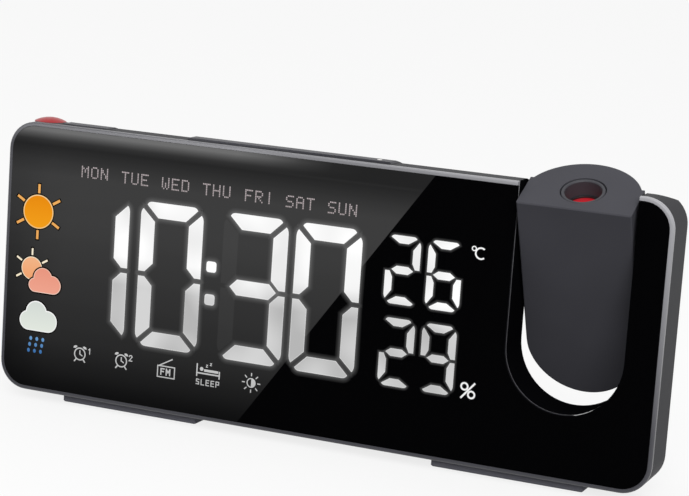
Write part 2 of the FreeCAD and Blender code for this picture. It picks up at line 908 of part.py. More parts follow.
def case_screws():
    """The five screws that hold the cover to the frame's posts."""
    body = new_piece("case_screws")
    seat = slab_back - size["case_wall"] / 2 + size["touch_gap"]
    heads = [(x, z, size["screw_head_radius"]) for x, z in post_places()]
    shanks = [(x, z, size["screw_radius"]) for x, z in post_places()]
    add(body, "XZ", seat, size["screw_head_height"], circles=heads)
    add(body, "XZ", seat - size["screw_length"], size["screw_length"], circles=shanks)
    crosses = [cross(x, z, size["drive_reach"], size["drive_blade"]) for x, z in post_places()]
    recess = seat + size["screw_head_height"] - size["drive_depth"]
    cut(body, "XZ", recess, size["drive_depth"], crosses)


def cross(x, z, reach, blade):
    """The cross recess of a screw head."""
    return [
        (x - reach, z - blade), (x - blade, z - blade), (x - blade, z - reach), (x + blade, z - reach),
        (x + blade, z - blade), (x + reach, z - blade), (x + reach, z + blade), (x + blade, z + blade),
        (x + blade, z + reach), (x - blade, z + reach), (x - blade, z + blade), (x - reach, z + blade),
    ]


switch_board_bottom = body_top - size["switch_board_drop"]
switch_board_top = switch_board_bottom + size["switch_board_thickness"]
switch_top = body_top - size["switch_drop"]
stem_bottom = switch_top + size["switch_gap"]
sensor_side = size["snooze_right"] - size["sensor_inset"]
shoulder = slab_ceiling + size["travel"] + size["fit_gap"]


def roof_bar(name, left, right, rise, catches):
    """A bar in the roof that follows the plateau and the slope behind it."""
    body = new_piece(name)
    front = size["control_front"]
    back = control_back
    top = body_top + rise
    profile = [
        (front, shoulder),
        (back, shoulder),
        (back, top - (back - size["plateau_depth"]) * slope),
        (size["plateau_depth"], top),
        (front, top),
    ]
    add(body, "YZ", left, right - left, [profile])
    stem_back = size["stem_front"] + size["stem_depth"]
    stem = rectangle(left, right, size["stem_front"], stem_back)
    add(body, "XY", stem_bottom, shoulder - stem_bottom, [stem])
    catch_low = slab_ceiling - size["touch_gap"] - size["catch_thickness"]
    plates = []
    if "left" in catches:
        plates.append(rectangle(left - size["catch_reach"], left, size["stem_front"], stem_back))
    if "right" in catches:
        plates.append(rectangle(right, right + size["catch_reach"], size["stem_front"], stem_back))
    add(body, "XY", catch_low, size["catch_thickness"], plates)
    ends = (number(left), number(right))
    break_edges(body, "Chamfer", rise - size["touch_gap"], lambda edge: bar_end(edge, ends, number(top)))
    return body


def bar_end(edge, ends, top):
    """True for the upper edges at the two ends of a roof bar, on its flat top."""
    box = edge.BoundBox
    at_end = min(abs(box.XMin - end) + abs(box.XMax - end) for end in ends) < 0.002
    return at_end and box.ZMin > top - 0.001


def snooze_bar():
    """The long bar that stops the alarm for a while, with the light sensor's hole."""
    left = size["snooze_left"]
    right = size["snooze_right"]
    body = roof_bar("snooze_bar", left, right, size["snooze_rise"], ("left", "right"))
    sensor = (sensor_side, size["sensor_back"], size["sensor_radius"] + size["touch_gap"])
    top = body_top + size["snooze_rise"]
    cut(body, "XY", top - size["catch_reach"], size["catch_reach"], circles=[sensor])


def sensor_window():
    """The small clear window of the light sensor in the snooze bar."""
    body = new_piece("sensor_window", sensor_side, front_place + size["sensor_back"])
    low = body_top + size["snooze_rise"] - size["catch_reach"] + size["touch_gap"]
    top = body_top + size["snooze_rise"] + size["touch_gap"]
    add(body, "XY", low, top - low, circles=[(0, 0, size["sensor_radius"])])


def round_button():
    """The domed red button at the left end of the roof."""
    body = new_piece("round_button", button_side, front_place + size["button_back"])
    radius = size["button_radius"]
    rise = size["button_rise"]
    dome_radius = (radius * radius + rise * rise) / (rise * 2)
    stem = size["button_stem_radius"]
    top = body_top + rise
    profile = [
        (0, stem_bottom),
        (stem, stem_bottom),
        (stem, shoulder),
        (radius, shoulder),
        (radius, body_top),
        (0, top, (0, top - dome_radius), True),
    ]
    turned(body, profile)
    catch_low = slab_ceiling - size["touch_gap"] - size["catch_thickness"]
    catch = rectangle(0, radius + size["button_catch_reach"], -stem, stem)
    add(body, "XY", catch_low, size["catch_thickness"], [catch])


def switch_board():
    """The narrow board under the roof that carries the roof switches."""
    body = new_piece("switch_board")
    front = size["stem_front"] - size["fit_gap"]
    right = size["snooze_right"] + size["switch_board_overhang"]
    outline = rectangle(switch_board_left, right, front, control_back)
    add(body, "XY", switch_board_bottom, size["switch_board_thickness"], [outline])


def roof_switches():
    """The switches under the snooze bar, the key and the round button."""
    body = new_piece("roof_switches")
    half = size["switch_side"] / 2
    middle = size["stem_front"] + size["stem_depth"] / 2
    third = (size["snooze_right"] - size["snooze_left"]) / 3
    columns = [
        size["snooze_left"] + third / 2,
        size["snooze_right"] - third / 2,
        key_left + size["key_length"] / 2,
    ]
    places = [(x, middle) for x in columns]
    low = switch_board_top
    height = switch_top - low
    places.append((switch_board_left + size["fit_gap"] + half, size["stem_front"] + half))
    squares = [rectangle(x - half, x + half, y - half, y + half) for x, y in places]
    add(body, "XY", low, height - size["plunger_height"], squares)
    plungers = [(x, y, size["plunger_radius"]) for x, y in places]
    add(body, "XY", switch_top - size["plunger_height"], size["plunger_height"], circles=plungers)


def main_board():
    """The circuit board in the deep part of the case."""
    body = new_piece("main_board")
    low = body_bottom + size["main_bottom"]
    high = main_top
    outline = rectangle(main_left, main_right, low, high)
    add(body, "XZ", size["main_depth"], size["board_thickness"], [outline])
    holes = [(x, z, size["board_screw_radius"] + size["fit_gap"]) for x, z in standoff_places()]
    cut(body, "XZ", size["main_depth"], size["board_thickness"], circles=holes)


def board_chips():
    """The clock's processor and the radio's chip."""
    body = new_piece("board_chips")
    level = body_bottom + size["chip_centre_height"]
    half = size["chip_side"] / 2
    radio_half = size["radio_side"] / 2
    radio = size["radio_offset"]
    shapes = [
        rectangle(-half, half, level - half, level + half),
        rectangle(radio - radio_half, radio + radio_half, level - radio_half, level + radio_half),
    ]
    add(body, "XZ", size["main_depth"] - size["chip_height"], size["chip_height"], shapes)


def board_link():
    """The pin header between the display board and the main board."""
    body = new_piece("board_link")
    level = body_bottom + size["link_level"]
    half = size["link_width"] / 2
    front = display_board_front + size["board_thickness"] + size["touch_gap"]
    back = size["main_depth"] - size["touch_gap"]
    outline = rectangle(-half, half, level, level + size["link_height"])
    add(body, "XZ", front, back - front, [outline])


def board_screws():
    """The four screws of the main board."""
    body = new_piece("board_screws")
    seat = size["main_depth"] - size["touch_gap"]
    heads = [(x, z, size["board_screw_head"]) for x, z in standoff_places()]
    shanks = [(x, z, size["board_screw_radius"]) for x, z in standoff_places()]
    add(body, "XZ", seat - size["screw_head_height"], size["screw_head_height"], circles=heads)
    add(body, "XZ", seat, size["board_screw_length"], circles=shanks)


holder_front = size["main_depth"] + size["board_thickness"] + size["touch_gap"]
cell_front = holder_front + size["holder_floor"] + size["touch_gap"]


def cell_holder():
    """The cup on the main board that holds the backup cell."""
    body = new_piece("cell_holder")
    place = (cell_side, body_bottom + size["cell_level"])
    outer = size["cell_radius"] + size["holder_wall"]
    depth = size["holder_floor"] + size["cell_thickness"]
    add(body, "XZ", holder_front, depth, circles=[(*place, outer)])
    bore = size["cell_radius"] + size["fit_gap"]
    cut(body, "XZ", holder_front + size["holder_floor"], depth, circles=[(*place, bore)])


def backup_cell():
    """The coin cell that keeps the time when the power is off."""
    body = new_piece("backup_cell")
    place = (cell_side, body_bottom + size["cell_level"])
    add(body, "XZ", cell_front, size["cell_thickness"], circles=[(*place, size["cell_radius"])])
    break_edges(body, "Chamfer", size["edge_break"], lambda edge: True)


def battery_door():
    """The round door over the backup cell, turned with a coin."""
    body = new_piece("battery_door")
    x = cell_side
    z = body_bottom + size["cell_level"]
    outside = size["total_depth"] - size["touch_gap"]
    face = size["door_thickness"] - size["touch_gap"] * 2
    spigot = door_radius - size["door_ledge"] - size["fit_gap"]
    add(body, "XZ", outside - face, face, circles=[(x, z, door_radius)])
    spigot_depth = size["case_wall"] - size["door_thickness"] + size["touch_gap"]
    add(body, "XZ", outside - face - spigot_depth, spigot_depth, circles=[(x, z, spigot)])
    half = size["coin_slot_length"] / 2
    half_height = size["coin_slot_width"] / 2
    groove = rectangle(x - half, x + half, z - half_height, z + half_height)
    cut(body, "XZ", outside - size["coin_slot_depth"], size["coin_slot_depth"], [groove])


rear_switch_back = back_inside - size["rear_key_flange"] - size["travel"] - size["fit_gap"]


def rear_key(name, x):
    """One push key in the back wall, with the flange that keeps it in."""
    body = new_piece(name, x, front_place, rear_key_level)
    half = size["rear_key_length"] / 2
    half_height = size["rear_key_height"] / 2
    cap = rounded(-half, half, -half_height, half_height, half_height / 2)
    base = back_inside - size["touch_gap"]
    add(body, "XZ", base, size["case_wall"] + size["rear_key_rise"], [cap])
    reach = size["rear_key_flange_reach"]
    flange = rectangle(-half - reach, half + reach, -half_height - reach, half_height + reach)
    add(body, "XZ", base - size["rear_key_flange"], size["rear_key_flange"], [flange])
    last = number(size["total_depth"] + size["rear_key_rise"] - size["touch_gap"])
    break_edges(body, "Chamfer", size["edge_break"], lambda edge: edge.BoundBox.YMin > last - 0.001)


def rear_switches():
    """The switches on the main board behind the rear keys."""
    body = new_piece("rear_switches")
    half = size["rear_switch_side"] / 2
    level = rear_key_level
    front = size["main_depth"] + size["board_thickness"] + size["touch_gap"]
    squares = [rectangle(x - half, x + half, level - half, level + half) for x in rear_key_places()]
    height = rear_switch_back - front
    reach = size["rear_plunger_height"]
    add(body, "XZ", front, height - reach, squares)
    plungers = [(x, level, size["rear_plunger_radius"]) for x in rear_key_places()]
    add(body, "XZ", rear_switch_back - reach, reach, circles=plungers)


def power_inlet():
    """The power socket at the back, with its contact tongue."""
    body = new_piece("power_inlet")
    side = inlet_side
    level = body_bottom + size["inlet_level"]
    front = size["main_depth"] + size["board_thickness"] + size["touch_gap"]
    back = size["total_depth"] - size["inlet_recess"]
    add(body, "XZ", front, back - front, [inlet_outline(0)])
    cavity = inlet_outline(-size["inlet_shell"])
    cut(body, "XZ", back - size["inlet_depth"], size["inlet_depth"], [cavity])
    half = size["inlet_tongue_width"] / 2
    half_height = size["inlet_tongue_height"] / 2
    tongue = rectangle(side - half, side + half, level - half_height, level + half_height)
    add(body, "XZ", back - size["inlet_depth"], size["inlet_tongue_length"], [tongue])


speaker_front = back_inside - size["touch_gap"] - size["speaker_basket_depth"]


def speaker_basket():
    """The speaker's frame, with its rim against the grille."""
    body = new_piece("speaker_basket")
    place = (speaker_side, body_bottom + size["speaker_level"])
    add(body, "XZ", speaker_front, size["speaker_basket_depth"], circles=[(*place, size["speaker_radius"])])
    bore = size["speaker_radius"] - size["speaker_rim"]
    depth = size["speaker_basket_depth"] - size["speaker_plate"]
    cut(body, "XZ", speaker_front + size["speaker_plate"], depth, circles=[(*place, bore)])


def speaker_cone():
    """The shallow cone that makes the sound."""
    place_back = front_place + speaker_front + size["speaker_plate"] + size["touch_gap"]
    place_up = body_bottom + size["speaker_level"]
    body = new_piece("speaker_cone", speaker_side, place_back, place_up, -90)
    wide = size["cone_radius"]
    narrow = size["cone_centre_radius"]
    rise = size["cone_rise"]
    profile = [
        (0, 0),
        (narrow, 0),
        (wide, rise),
        (wide, rise + size["cone_thickness"]),
        (narrow, size["cone_thickness"]),
        (0, size["cone_thickness"]),
    ]
    turned(body, profile)


def speaker_magnet():
    """The magnet on the front of the basket."""
    body = new_piece("speaker_magnet")
    place = (speaker_side, body_bottom + size["speaker_level"])
    front = speaker_front - size["touch_gap"] - size["magnet_thickness"]
    add(body, "XZ", front, size["magnet_thickness"], circles=[(*place, size["magnet_radius"])])


def head_side_outline(inset):
    """The head seen from the front: straight sides and a half-round lower end."""
    half = head_half - inset
    top = size["pivot_drop"]
    return [
        (-half, top - inset),
        (-half, head_round_start),
        (half, head_round_start, (0, head_round_start), True),
        (half, top - inset),
    ]


def trim_tail(body):
    """Turns the head's lower end to a barrel form about the pivot, so that it swings clear."""
    over = swing_radius + size["head_round_centre"]
    profile = [
        (-head_half, head_round_start),
        (head_half, head_round_start, (0, head_round_start), True),
        (head_half + PAST, head_round_start),
        (head_half + PAST, -over),
        (-head_half - PAST, -over),
        (-head_half - PAST, head_round_start),
    ]
    groove = body.newObject("PartDesign::Groove", "Groove")
    sketch = sketch_shapes(body, "XZ", 0, [profile])
    groove.Profile = sketch
    groove.ReferenceAxis = (sketch, ["H_Axis"])
    groove.Angle = 360
    return groove


def head_screw_places():
    return [(0, -size["head_screw_high"]), (0, size["head_screw_tail"] - swing_radius)]


def arc_half_width(depth, radius):
    """Half the width of the round back at a depth behind the pivot."""
    offset = depth - round_centre
    return root(radius * radius - offset * offset)


def head_front_shell():
    """The head's front shell: flat face, sides, and the flat top with the lens opening."""
    body = head_piece("head_front_shell")
    wall = size["head_wall"]
    front = -pivot_depth
    add(body, "XZ", front, size["head_block_depth"], [head_side_outline(0)])
    top = size["pivot_drop"]
    lid = [
        (-head_half, front),
        (head_half, front),
        (head_half, block_back),
        (shoulder_half, block_back),
        (-shoulder_half, block_back, (0, round_centre), True),
        (-head_half, block_back),
    ]
    add(body, "XY", top - wall, wall, [lid])
    break_edges(body, "Chamfer", size["edge_break"], head_front_edges)
    cut(body, "XZ", front + wall, size["head_block_depth"], [head_side_outline(wall)])
    for left in (-head_half, head_half - size["pin_reach"]):
        add(body, "YZ", left, size["pin_reach"], circles=[(0, 0, size["pin_boss_radius"])])
    for left in (-head_half, head_half - size["pin_reach"]):
        cut(body, "YZ", left, size["pin_reach"], circles=[(0, 0, size["pin_radius"] + size["touch_gap"])])
    posts = [(x, z, size["head_post_radius"]) for x, z in head_screw_places()]
    add(body, "XZ", front + wall, size["head_block_depth"] - wall, circles=posts)
    trim_tail(body)
    pilots = [(x, z, size["head_screw_radius"] + size["touch_gap"]) for x, z in head_screw_places()]
    cut(body, "XZ", front + wall + size["head_pilot_floor"], size["head_block_depth"], circles=pilots)
    opening = (0, lens_axis, size["ring_radius"] + size["ring_groove"])
    cut(body, "XY", top - wall, wall, circles=[opening])


def head_front_edges(edge):
    """True for the edges of the head's flat face."""
    return edge.BoundBox.YMax < 0.001 - number(pivot_depth)


def head_rear_shell():
    """The head's rounded back shell."""
    body = head_piece("head_rear_shell")
    gap = size["touch_gap"]
    wall = size["head_wall"]
    front = block_back + gap
    outer = arc_half_width(front, head_round_radius)
    inner_radius = head_round_radius - wall
    inner = arc_half_width(front, inner_radius)
    top = size["pivot_drop"] - wall - gap
    section = [(-outer, front), (outer, front), (-outer, front, (0, round_centre), True)]
    add(body, "XY", -swing_radius, top + swing_radius, [section[1:]])
    hollow = [(inner, front), (-inner, front, (0, round_centre), True)]
    cut(body, "XY", head_round_start, top - head_round_start, [hollow])
    half = head_half - wall * 2
    tail = [
        (-half, head_round_start + PAST),
        (-half, head_round_start),
        (half, head_round_start, (0, head_round_start), True),
        (half, head_round_start + PAST),
    ]
    cut(body, "XZ", front, size["head_tail_hollow"], [tail])
    posts = [(x, z, size["head_rear_post_radius"]) for x, z in head_screw_places()]
    post_length = round_back - front - wall / 2
    add(body, "XZ", front, post_length, circles=posts)
    holes = [(x, z, size["head_screw_radius"] + gap) for x, z in head_screw_places()]
    cut(body, "XZ", front, round_back, circles=holes)
    seats = [(x, z, size["head_screw_head"] + size["fit_gap"]) for x, z in head_screw_places()]
    cut(body, "XZ", front + size["head_screw_seat"], round_back, circles=seats)
    notch = (0, 0, size["pin_boss_radius"] + size["fit_gap"])
    cut(body, "YZ", -head_half, head_half * 2, circles=[notch])
    trim_tail(body)


def head_screws():
    """The two screws that join the head's shells."""
    body = head_piece("head_screws")
    seat = block_back + size["touch_gap"] * 2 + size["head_screw_seat"]
    heads = [(x, z, size["head_screw_head"]) for x, z in head_screw_places()]
    shanks = [(x, z, size["head_screw_radius"]) for x, z in head_screw_places()]
    add(body, "XZ", seat, size["screw_head_height"], circles=heads)
    add(body, "XZ", seat - size["head_screw_length"], size["head_screw_length"], circles=shanks)


pin_length = size["pin_reach"] + slot_radius - head_half + size["case_wall"]


def hinge_tube():
    """The hollow pin on the left, through which the head's cable runs."""
    body = head_piece("hinge_tube")
    left = -ring_radius
    add(body, "YZ", left, pin_length, circles=[(0, 0, size["pin_radius"])])
    cut(body, "YZ", left, pin_length, circles=[(0, 0, size["cable_bore_radius"])])


def hinge_pin():
    """The solid pin on the right."""
    body = head_piece("hinge_pin")
    add(body, "YZ", ring_radius - pin_length, pin_length, circles=[(0, 0, size["pin_radius"])])


def friction_washers():
    """The two washers that brake the head against the slot's sides."""
    body = new_piece("friction_washers")
    height = pivot_height
    ring = [(pivot_depth, height, size["washer_radius"])]
    bore = [(pivot_depth, height, size["pin_radius"] + size["pin_running_gap"])]
    thickness = size["head_side_gap"] - size["washer_play"] * 2
    left = slot_centre - slot_radius + size["washer_play"]
    right = slot_centre + head_half + size["washer_play"]
    for side in (left, right):
        add(body, "YZ", side, thickness, circles=ring)
    for side in (left, right):
        cut(body, "YZ", side, thickness, circles=bore)


def head_cable():
    """The short cable to the head, straight along the pivot axis."""
    body = new_piece("head_cable")
    left = slot_centre - ring_radius - size["cable_tail"]
    right = slot_centre - head_half + size["pin_reach"] + size["cable_end"]
    add(body, "YZ", left, right - left, circles=[(pivot_depth, pivot_height, size["cable_radius"])])


ring_top = size["pivot_drop"] - size["ring_recess"]
housing_top = size["pivot_drop"] - size["housing_top"]
housing_bottom = housing_top - size["housing_height"]
barrel_top = size["pivot_drop"] - size["barrel_top"]
barrel_radius = size["ring_bore_radius"] - size["barrel_gap"]
barrel_low = barrel_top - size["barrel_height"]
slide_top = barrel_low - size["focus_travel"] - size["barrel_to_slide"]
slide_pocket = slide_top - size["slide_thickness"] - size["fit_gap"]


def optic_piece(name):
    """A body of the optics: its own origin is on the lens axis, level with the pivot."""
    turn = size["head_tilt"]
    back = front_place + pivot_depth + cosine(turn) * lens_axis
    return new_piece(name, slot_centre, back, pivot_height + sine(turn) * lens_axis, turn)


def focus_ring():
    """The ring round the lens that is turned to focus."""
    body = optic_piece("focus_ring")
    flange_top = size["pivot_drop"] - size["head_wall"] - size["control_gap"]
    flange_low = flange_top - size["ring_flange_thickness"]
    low = ring_top - size["ring_height"]
    bore = size["ring_bore_radius"]
    outer = size["ring_radius"]
    profile = [
        (bore, low),
        (outer, low),
        (outer, flange_low),
        (flange_radius, flange_low),
        (flange_radius, flange_top),
        (outer, flange_top),
        (outer, ring_top - size["ring_grip"]),
        (outer - size["ring_grip"], ring_top),
        (bore + size["ring_grip"], ring_top),
        (bore, ring_top - size["ring_grip"]),
    ]
    turned(body, profile)


def lens_barrel():
    """The tube that carries the lens and slides when the ring is turned."""
    body = optic_piece("lens_barrel")
    bore = barrel_radius - size["barrel_wall"]
    lens_top = barrel_top - size["lens_seat"]
    lens_low = lens_top - size["lens_edge"] - size["touch_gap"]
    lens_hole = bore + size["lens_seat"]
    profile = [
        (bore - size["lens_seat"], barrel_low),
        (barrel_radius, barrel_low),
        (barrel_radius, barrel_top),
        (lens_hole, barrel_top),
        (lens_hole, lens_low),
        (bore - size["lens_seat"], lens_low),
    ]
    turned(body, profile)


def projection_lens():
    """The front lens, flat below and domed above."""
    body = optic_piece("projection_lens")
    radius = barrel_radius - size["barrel_wall"] + size["lens_seat"] - size["touch_gap"]
    crown = size["lens_crown"]
    curve = (radius * radius + crown * crown) / (crown * 2)
    edge_top = barrel_top - size["lens_seat"]
    profile = [
        (0, edge_top - size["lens_edge"]),
        (radius, edge_top - size["lens_edge"]),
        (radius, edge_top),
        (0, edge_top + crown, (0, edge_top + crown - curve), True),
    ]
    turned(body, profile)


def optic_housing():
    """The block that holds the slide, the condenser and the light in line."""
    body = optic_piece("optic_housing")
    half = lens_depth - size["head_wall"] - size["touch_gap"]
    add(body, "XY", housing_bottom, size["housing_height"], [rectangle(-half, half, -half, half)])
    bore = size["ring_bore_radius"]
    cut(body, "XY", slide_top, housing_top - slide_top, circles=[(0, 0, bore)])
    side = size["slide_side"] / 2 + size["fit_gap"]
    cut(body, "XY", slide_pocket, slide_top - slide_pocket, [rectangle(-side, side, -half, side)])
    lower_bore = size["condenser_radius"] + size["touch_gap"]
    cut(body, "XY", housing_bottom, slide_pocket - housing_bottom, circles=[(0, 0, lower_bore)])


def projection_slide():
    """The small liquid crystal slide whose digits are projected."""
    body = optic_piece("projection_slide")
    side = size["slide_side"] / 2
    low = slide_pocket + size["fit_gap"] / 2
    add(body, "XY", low, size["slide_thickness"], [rectangle(-side, side, -side, side)])


def condenser_lens():
    """The lens that gathers the light onto the slide."""
    body = optic_piece("condenser_lens")
    radius = size["condenser_radius"]
    crown = size["condenser_crown"]
    curve = (radius * radius + crown * crown) / (crown * 2)
    top = slide_pocket - size["condenser_gap"]
    low = top - size["condenser_edge"]
    profile = [(0, top), (0, low - crown), (radius, low, (0, low - crown + curve), True), (radius, top)]
    turned(body, profile)


def projection_light():
    """The red light under the condenser."""
    body = optic_piece("projection_light")
    half = size["led_side"] / 2
    add(body, "XY", housing_bottom, size["led_body_height"], [rectangle(-half, half, -half, half)])


def light_board():
    """The small board that carries the red light and closes the housing."""
    body = optic_piece("light_board")
    half = size["led_board_width"] / 2
    half_depth = size["led_board_depth"] / 2
    top = housing_bottom - size["touch_gap"]
    outline = rectangle(-half, half, -half_depth, half_depth)
    add(body, "XY", top - size["led_board_thickness"], size["led_board_thickness"], [outline])


def build():
    front_frame()
    front_panel()
    display_film()
    display_reflector()
    display_board()
    display_leds()
    rear_cover()
    foot("foot_left", -1)
    foot("foot_right", 1)
    case_screws()
    snooze_bar()
    sensor_window()
    roof_bar("roof_key", key_left, key_left + size["key_length"], size["key_rise"], ("right",))
    round_button()
    switch_board()
    roof_switches()
    main_board()
    board_chips()
    board_link()
    board_screws()
    cell_holder()
    backup_cell()
    battery_door()
    for name, x in zip(("mode", "alarm", "radio", "down", "up"), rear_key_places()):
        rear_key("rear_key_" + name, x)
    rear_switches()
    power_inlet()
    speaker_basket()
    speaker_cone()
    speaker_magnet()
    head_front_shell()
    head_rear_shell()
    head_screws()
    hinge_tube()
    hinge_pin()
    friction_washers()
    head_cable()
    focus_ring()
    lens_barrel()
    projection_lens()
    optic_housing()
    projection_slide()
    condenser_lens()
    projection_light()
    light_board()


def check_and_write():
    """Stops on any failed feature, then writes one file for each piece."""
    document.recompute()
    for item in document.Objects:
        if "Invalid" in item.State or "Error" in item.State:
            raise RuntimeError("%s of the document failed" % item.Label)
    os.makedirs("parts", exist_ok=True)
    for body in nodes:
        shape = body.Shape
        if shape.isNull() or not shape.isValid() or not shape.Solids:
            raise RuntimeError("%s has no sound solid" % body.Label)
        shape.exportStep("parts/%s.step" % body.Label)
        print("%-18s %2d solids %10.1f mm3" % (body.Label, len(shape.Solids), shape.Volume))


build()
check_and_write()
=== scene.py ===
"""The looks of a slim projection alarm clock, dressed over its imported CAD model.

Metres, in the CAD model's frame: +X to the right, +Y from the display to the back, +Z up.
"""

import math

import bpy
from mathutils import Matrix, Vector


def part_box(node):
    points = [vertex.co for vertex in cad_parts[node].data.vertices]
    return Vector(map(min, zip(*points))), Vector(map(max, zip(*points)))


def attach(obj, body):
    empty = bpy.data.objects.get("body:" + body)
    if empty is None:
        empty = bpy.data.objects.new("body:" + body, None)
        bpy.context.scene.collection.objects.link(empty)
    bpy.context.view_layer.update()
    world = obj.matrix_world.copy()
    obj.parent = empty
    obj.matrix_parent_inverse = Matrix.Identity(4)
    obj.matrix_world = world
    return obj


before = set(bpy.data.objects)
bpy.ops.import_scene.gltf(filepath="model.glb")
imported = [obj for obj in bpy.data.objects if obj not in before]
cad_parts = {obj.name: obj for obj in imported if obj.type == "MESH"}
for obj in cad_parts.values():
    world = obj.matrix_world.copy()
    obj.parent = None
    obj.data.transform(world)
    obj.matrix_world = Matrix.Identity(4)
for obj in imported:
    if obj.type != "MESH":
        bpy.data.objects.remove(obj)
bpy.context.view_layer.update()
MM = 0.001

# the panel's face, the case's foot and the middle of the head's slot, read from the frame
head_low, head_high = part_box("head_front_shell")
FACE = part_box("front_panel")[0].y
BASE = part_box("front_frame")[0].z
SLOT_MIDDLE = (head_low.x + head_high.x) / 2

# how far print stands in front of the panel
PRINT_HEIGHT = 0.02 * MM

# the share of the floor that is plain white, which leaves the rest to show the shadow
FLOOR_LIFT = 0.8
FLOOR_REACH = 6.0

# the sockets of a mix node that carry its two colours and their result
MIX_FIRST = 6
MIX_SECOND = 7
MIX_RESULT = 2

# the painted shade in the head's slot in the case, in millimetres: half its width, and its reach up and back
SLOT_SHADE_HALF = 16.1
SLOT_SHADE_LOW = 17.2
SLOT_SHADE_HIGH = 80.0
SLOT_SHADE_FRONT = -1.0
SLOT_SHADE_BACK = 13.7
CASE_SHINE = 0.12

# between these heights, and these places across, the rim's painted highlight rises, in millimetres
RIM_HIGHLIGHT_HEIGHTS = (15.0, 74.0)
RIM_HIGHLIGHT_ACROSS = (-100.0, 95.0)

# width, height, bar width and the scale of the mitres, for the large and the small digits
LARGE_DIGIT = (19.0, 40.2, 4.3, 1.0)
SMALL_DIGIT = (9.5, 18.2, 2.05, 0.66)
TIME_LOW = 18.0
TIME_LEFTS = (-75.2, -52.7, -27.5, -6.2)

# the camera's place from the panel's face and the case's foot, in millimetres
CAMERA_X = 219.3
CAMERA_AHEAD = 521.6
CAMERA_Z = 149.4


def linear(hex_colour):
    """An sRGB hex colour as linear red, green, blue and full alpha."""
    shades = [int(hex_colour[place:place + 2], 16) / 255 for place in (0, 2, 4)]
    curve = [shade / 12.92 if shade <= 0.04045 else ((shade + 0.055) / 1.055) ** 2.4 for shade in shades]
    return (*curve, 1.0)


def add_node(tree, kind, settings=None, links=None):
    """Adds a node; settings go to its sockets or properties, links join its inputs to other outputs."""
    node = tree.nodes.new(kind)
    for name, value in (settings or {}).items():
        if name in node.inputs:
            node.inputs[name].default_value = value
        else:
            setattr(node, name, value)
    for name, source in (links or {}).items():
        tree.links.new(source, node.inputs[name])
    return node


def bare_material(name):
    """A material with no nodes, and its node tree."""
    material = bpy.data.materials.new(name)
    material.use_nodes = True
    material.node_tree.nodes.clear()
    return material, material.node_tree


def new_material(name):
    """A material with its output and one surface shader."""
    material, tree = bare_material(name)
    surface = add_node(tree, "ShaderNodeBsdfPrincipled")
    add_node(tree, "ShaderNodeOutputMaterial", links={"Surface": surface.outputs["BSDF"]})
    return material, tree, surface


def grained_material(name, colour, worn, roughness, grain_mm, grain_depth_mm, metallic=0.0):
    """A moulded or cast surface: fine grain in its gloss and relief, and slight unevenness of colour."""
    material, tree, surface = new_material(name)
    place = add_node(tree, "ShaderNodeTexCoord")
    per_metre = 1 / (grain_mm * MM)
    grain = add_node(tree, "ShaderNodeTexNoise", {"Scale": per_metre, "Detail": 2.0},
                     {"Vector": place.outputs["Object"]})
    drift = add_node(tree, "ShaderNodeTexNoise", {"Scale": 1 / (18 * MM), "Detail": 1.0},
                     {"Vector": place.outputs["Object"]})
    shades = add_node(tree, "ShaderNodeMix", {"data_type": "RGBA"}, {"Factor": drift.outputs["Fac"]})
    shades.inputs[MIX_FIRST].default_value = linear(colour)
    shades.inputs[MIX_SECOND].default_value = linear(worn)
    tree.links.new(shades.outputs[MIX_RESULT], surface.inputs["Base Color"])
    gloss = add_node(tree, "ShaderNodeMapRange", {"To Min": roughness - 0.05, "To Max": roughness + 0.05},
                     {"Value": grain.outputs["Fac"]})
    tree.links.new(gloss.outputs["Result"], surface.inputs["Roughness"])
    soften = add_node(tree, "ShaderNodeBevel", {"samples": 4, "Radius": 0.25 * MM})
    relief = add_node(tree, "ShaderNodeBump", {"Distance": grain_depth_mm * MM, "Strength": 0.6},
                      {"Height": grain.outputs["Fac"], "Normal": soften.outputs["Normal"]})
    tree.links.new(relief.outputs["Normal"], surface.inputs["Normal"])
    surface.inputs["Metallic"].default_value = metallic
    return material


def dulled(material, level):
    """Turns a plastic's mirror-like share down, as deep mould grain does."""
    material.node_tree.nodes["Principled BSDF"].inputs["Specular IOR Level"].default_value = level
    return material


def combined(tree, operation, first, second):
    """What a piece of arithmetic makes of two values."""
    node = add_node(tree, "ShaderNodeMath", {"operation": operation})
    tree.links.new(first, node.inputs[0])
    tree.links.new(second, node.inputs[1])
    return node.outputs["Value"]


def between(tree, value, low, high):
    """1 where a value lies between two limits, and 0 elsewhere."""
    tests = []
    for operation, limit in (("GREATER_THAN", low), ("LESS_THAN", high)):
        test = add_node(tree, "ShaderNodeMath", {"operation": operation})
        tree.links.new(value, test.inputs[0])
        test.inputs[1].default_value = limit
        tests.append(test.outputs["Value"])
    return combined(tree, "MULTIPLY", *tests)


def point_parts(tree):
    """The x, y and z of each point of a piece, in metres."""
    place = add_node(tree, "ShaderNodeTexCoord")
    return add_node(tree, "ShaderNodeSeparateXYZ", links={"Vector": place.outputs["Object"]})


def recolour(tree, surface, share, colour):
    """Changes the surface's colour to another by a share from 0 to 1."""
    before = surface.inputs["Base Color"].links[0].from_socket
    mix = add_node(tree, "ShaderNodeMix", {"data_type": "RGBA"}, {"Factor": share})
    tree.links.new(before, mix.inputs[MIX_FIRST])
    mix.inputs[MIX_SECOND].default_value = linear(colour)
    tree.links.new(mix.outputs[MIX_RESULT], surface.inputs["Base Color"])


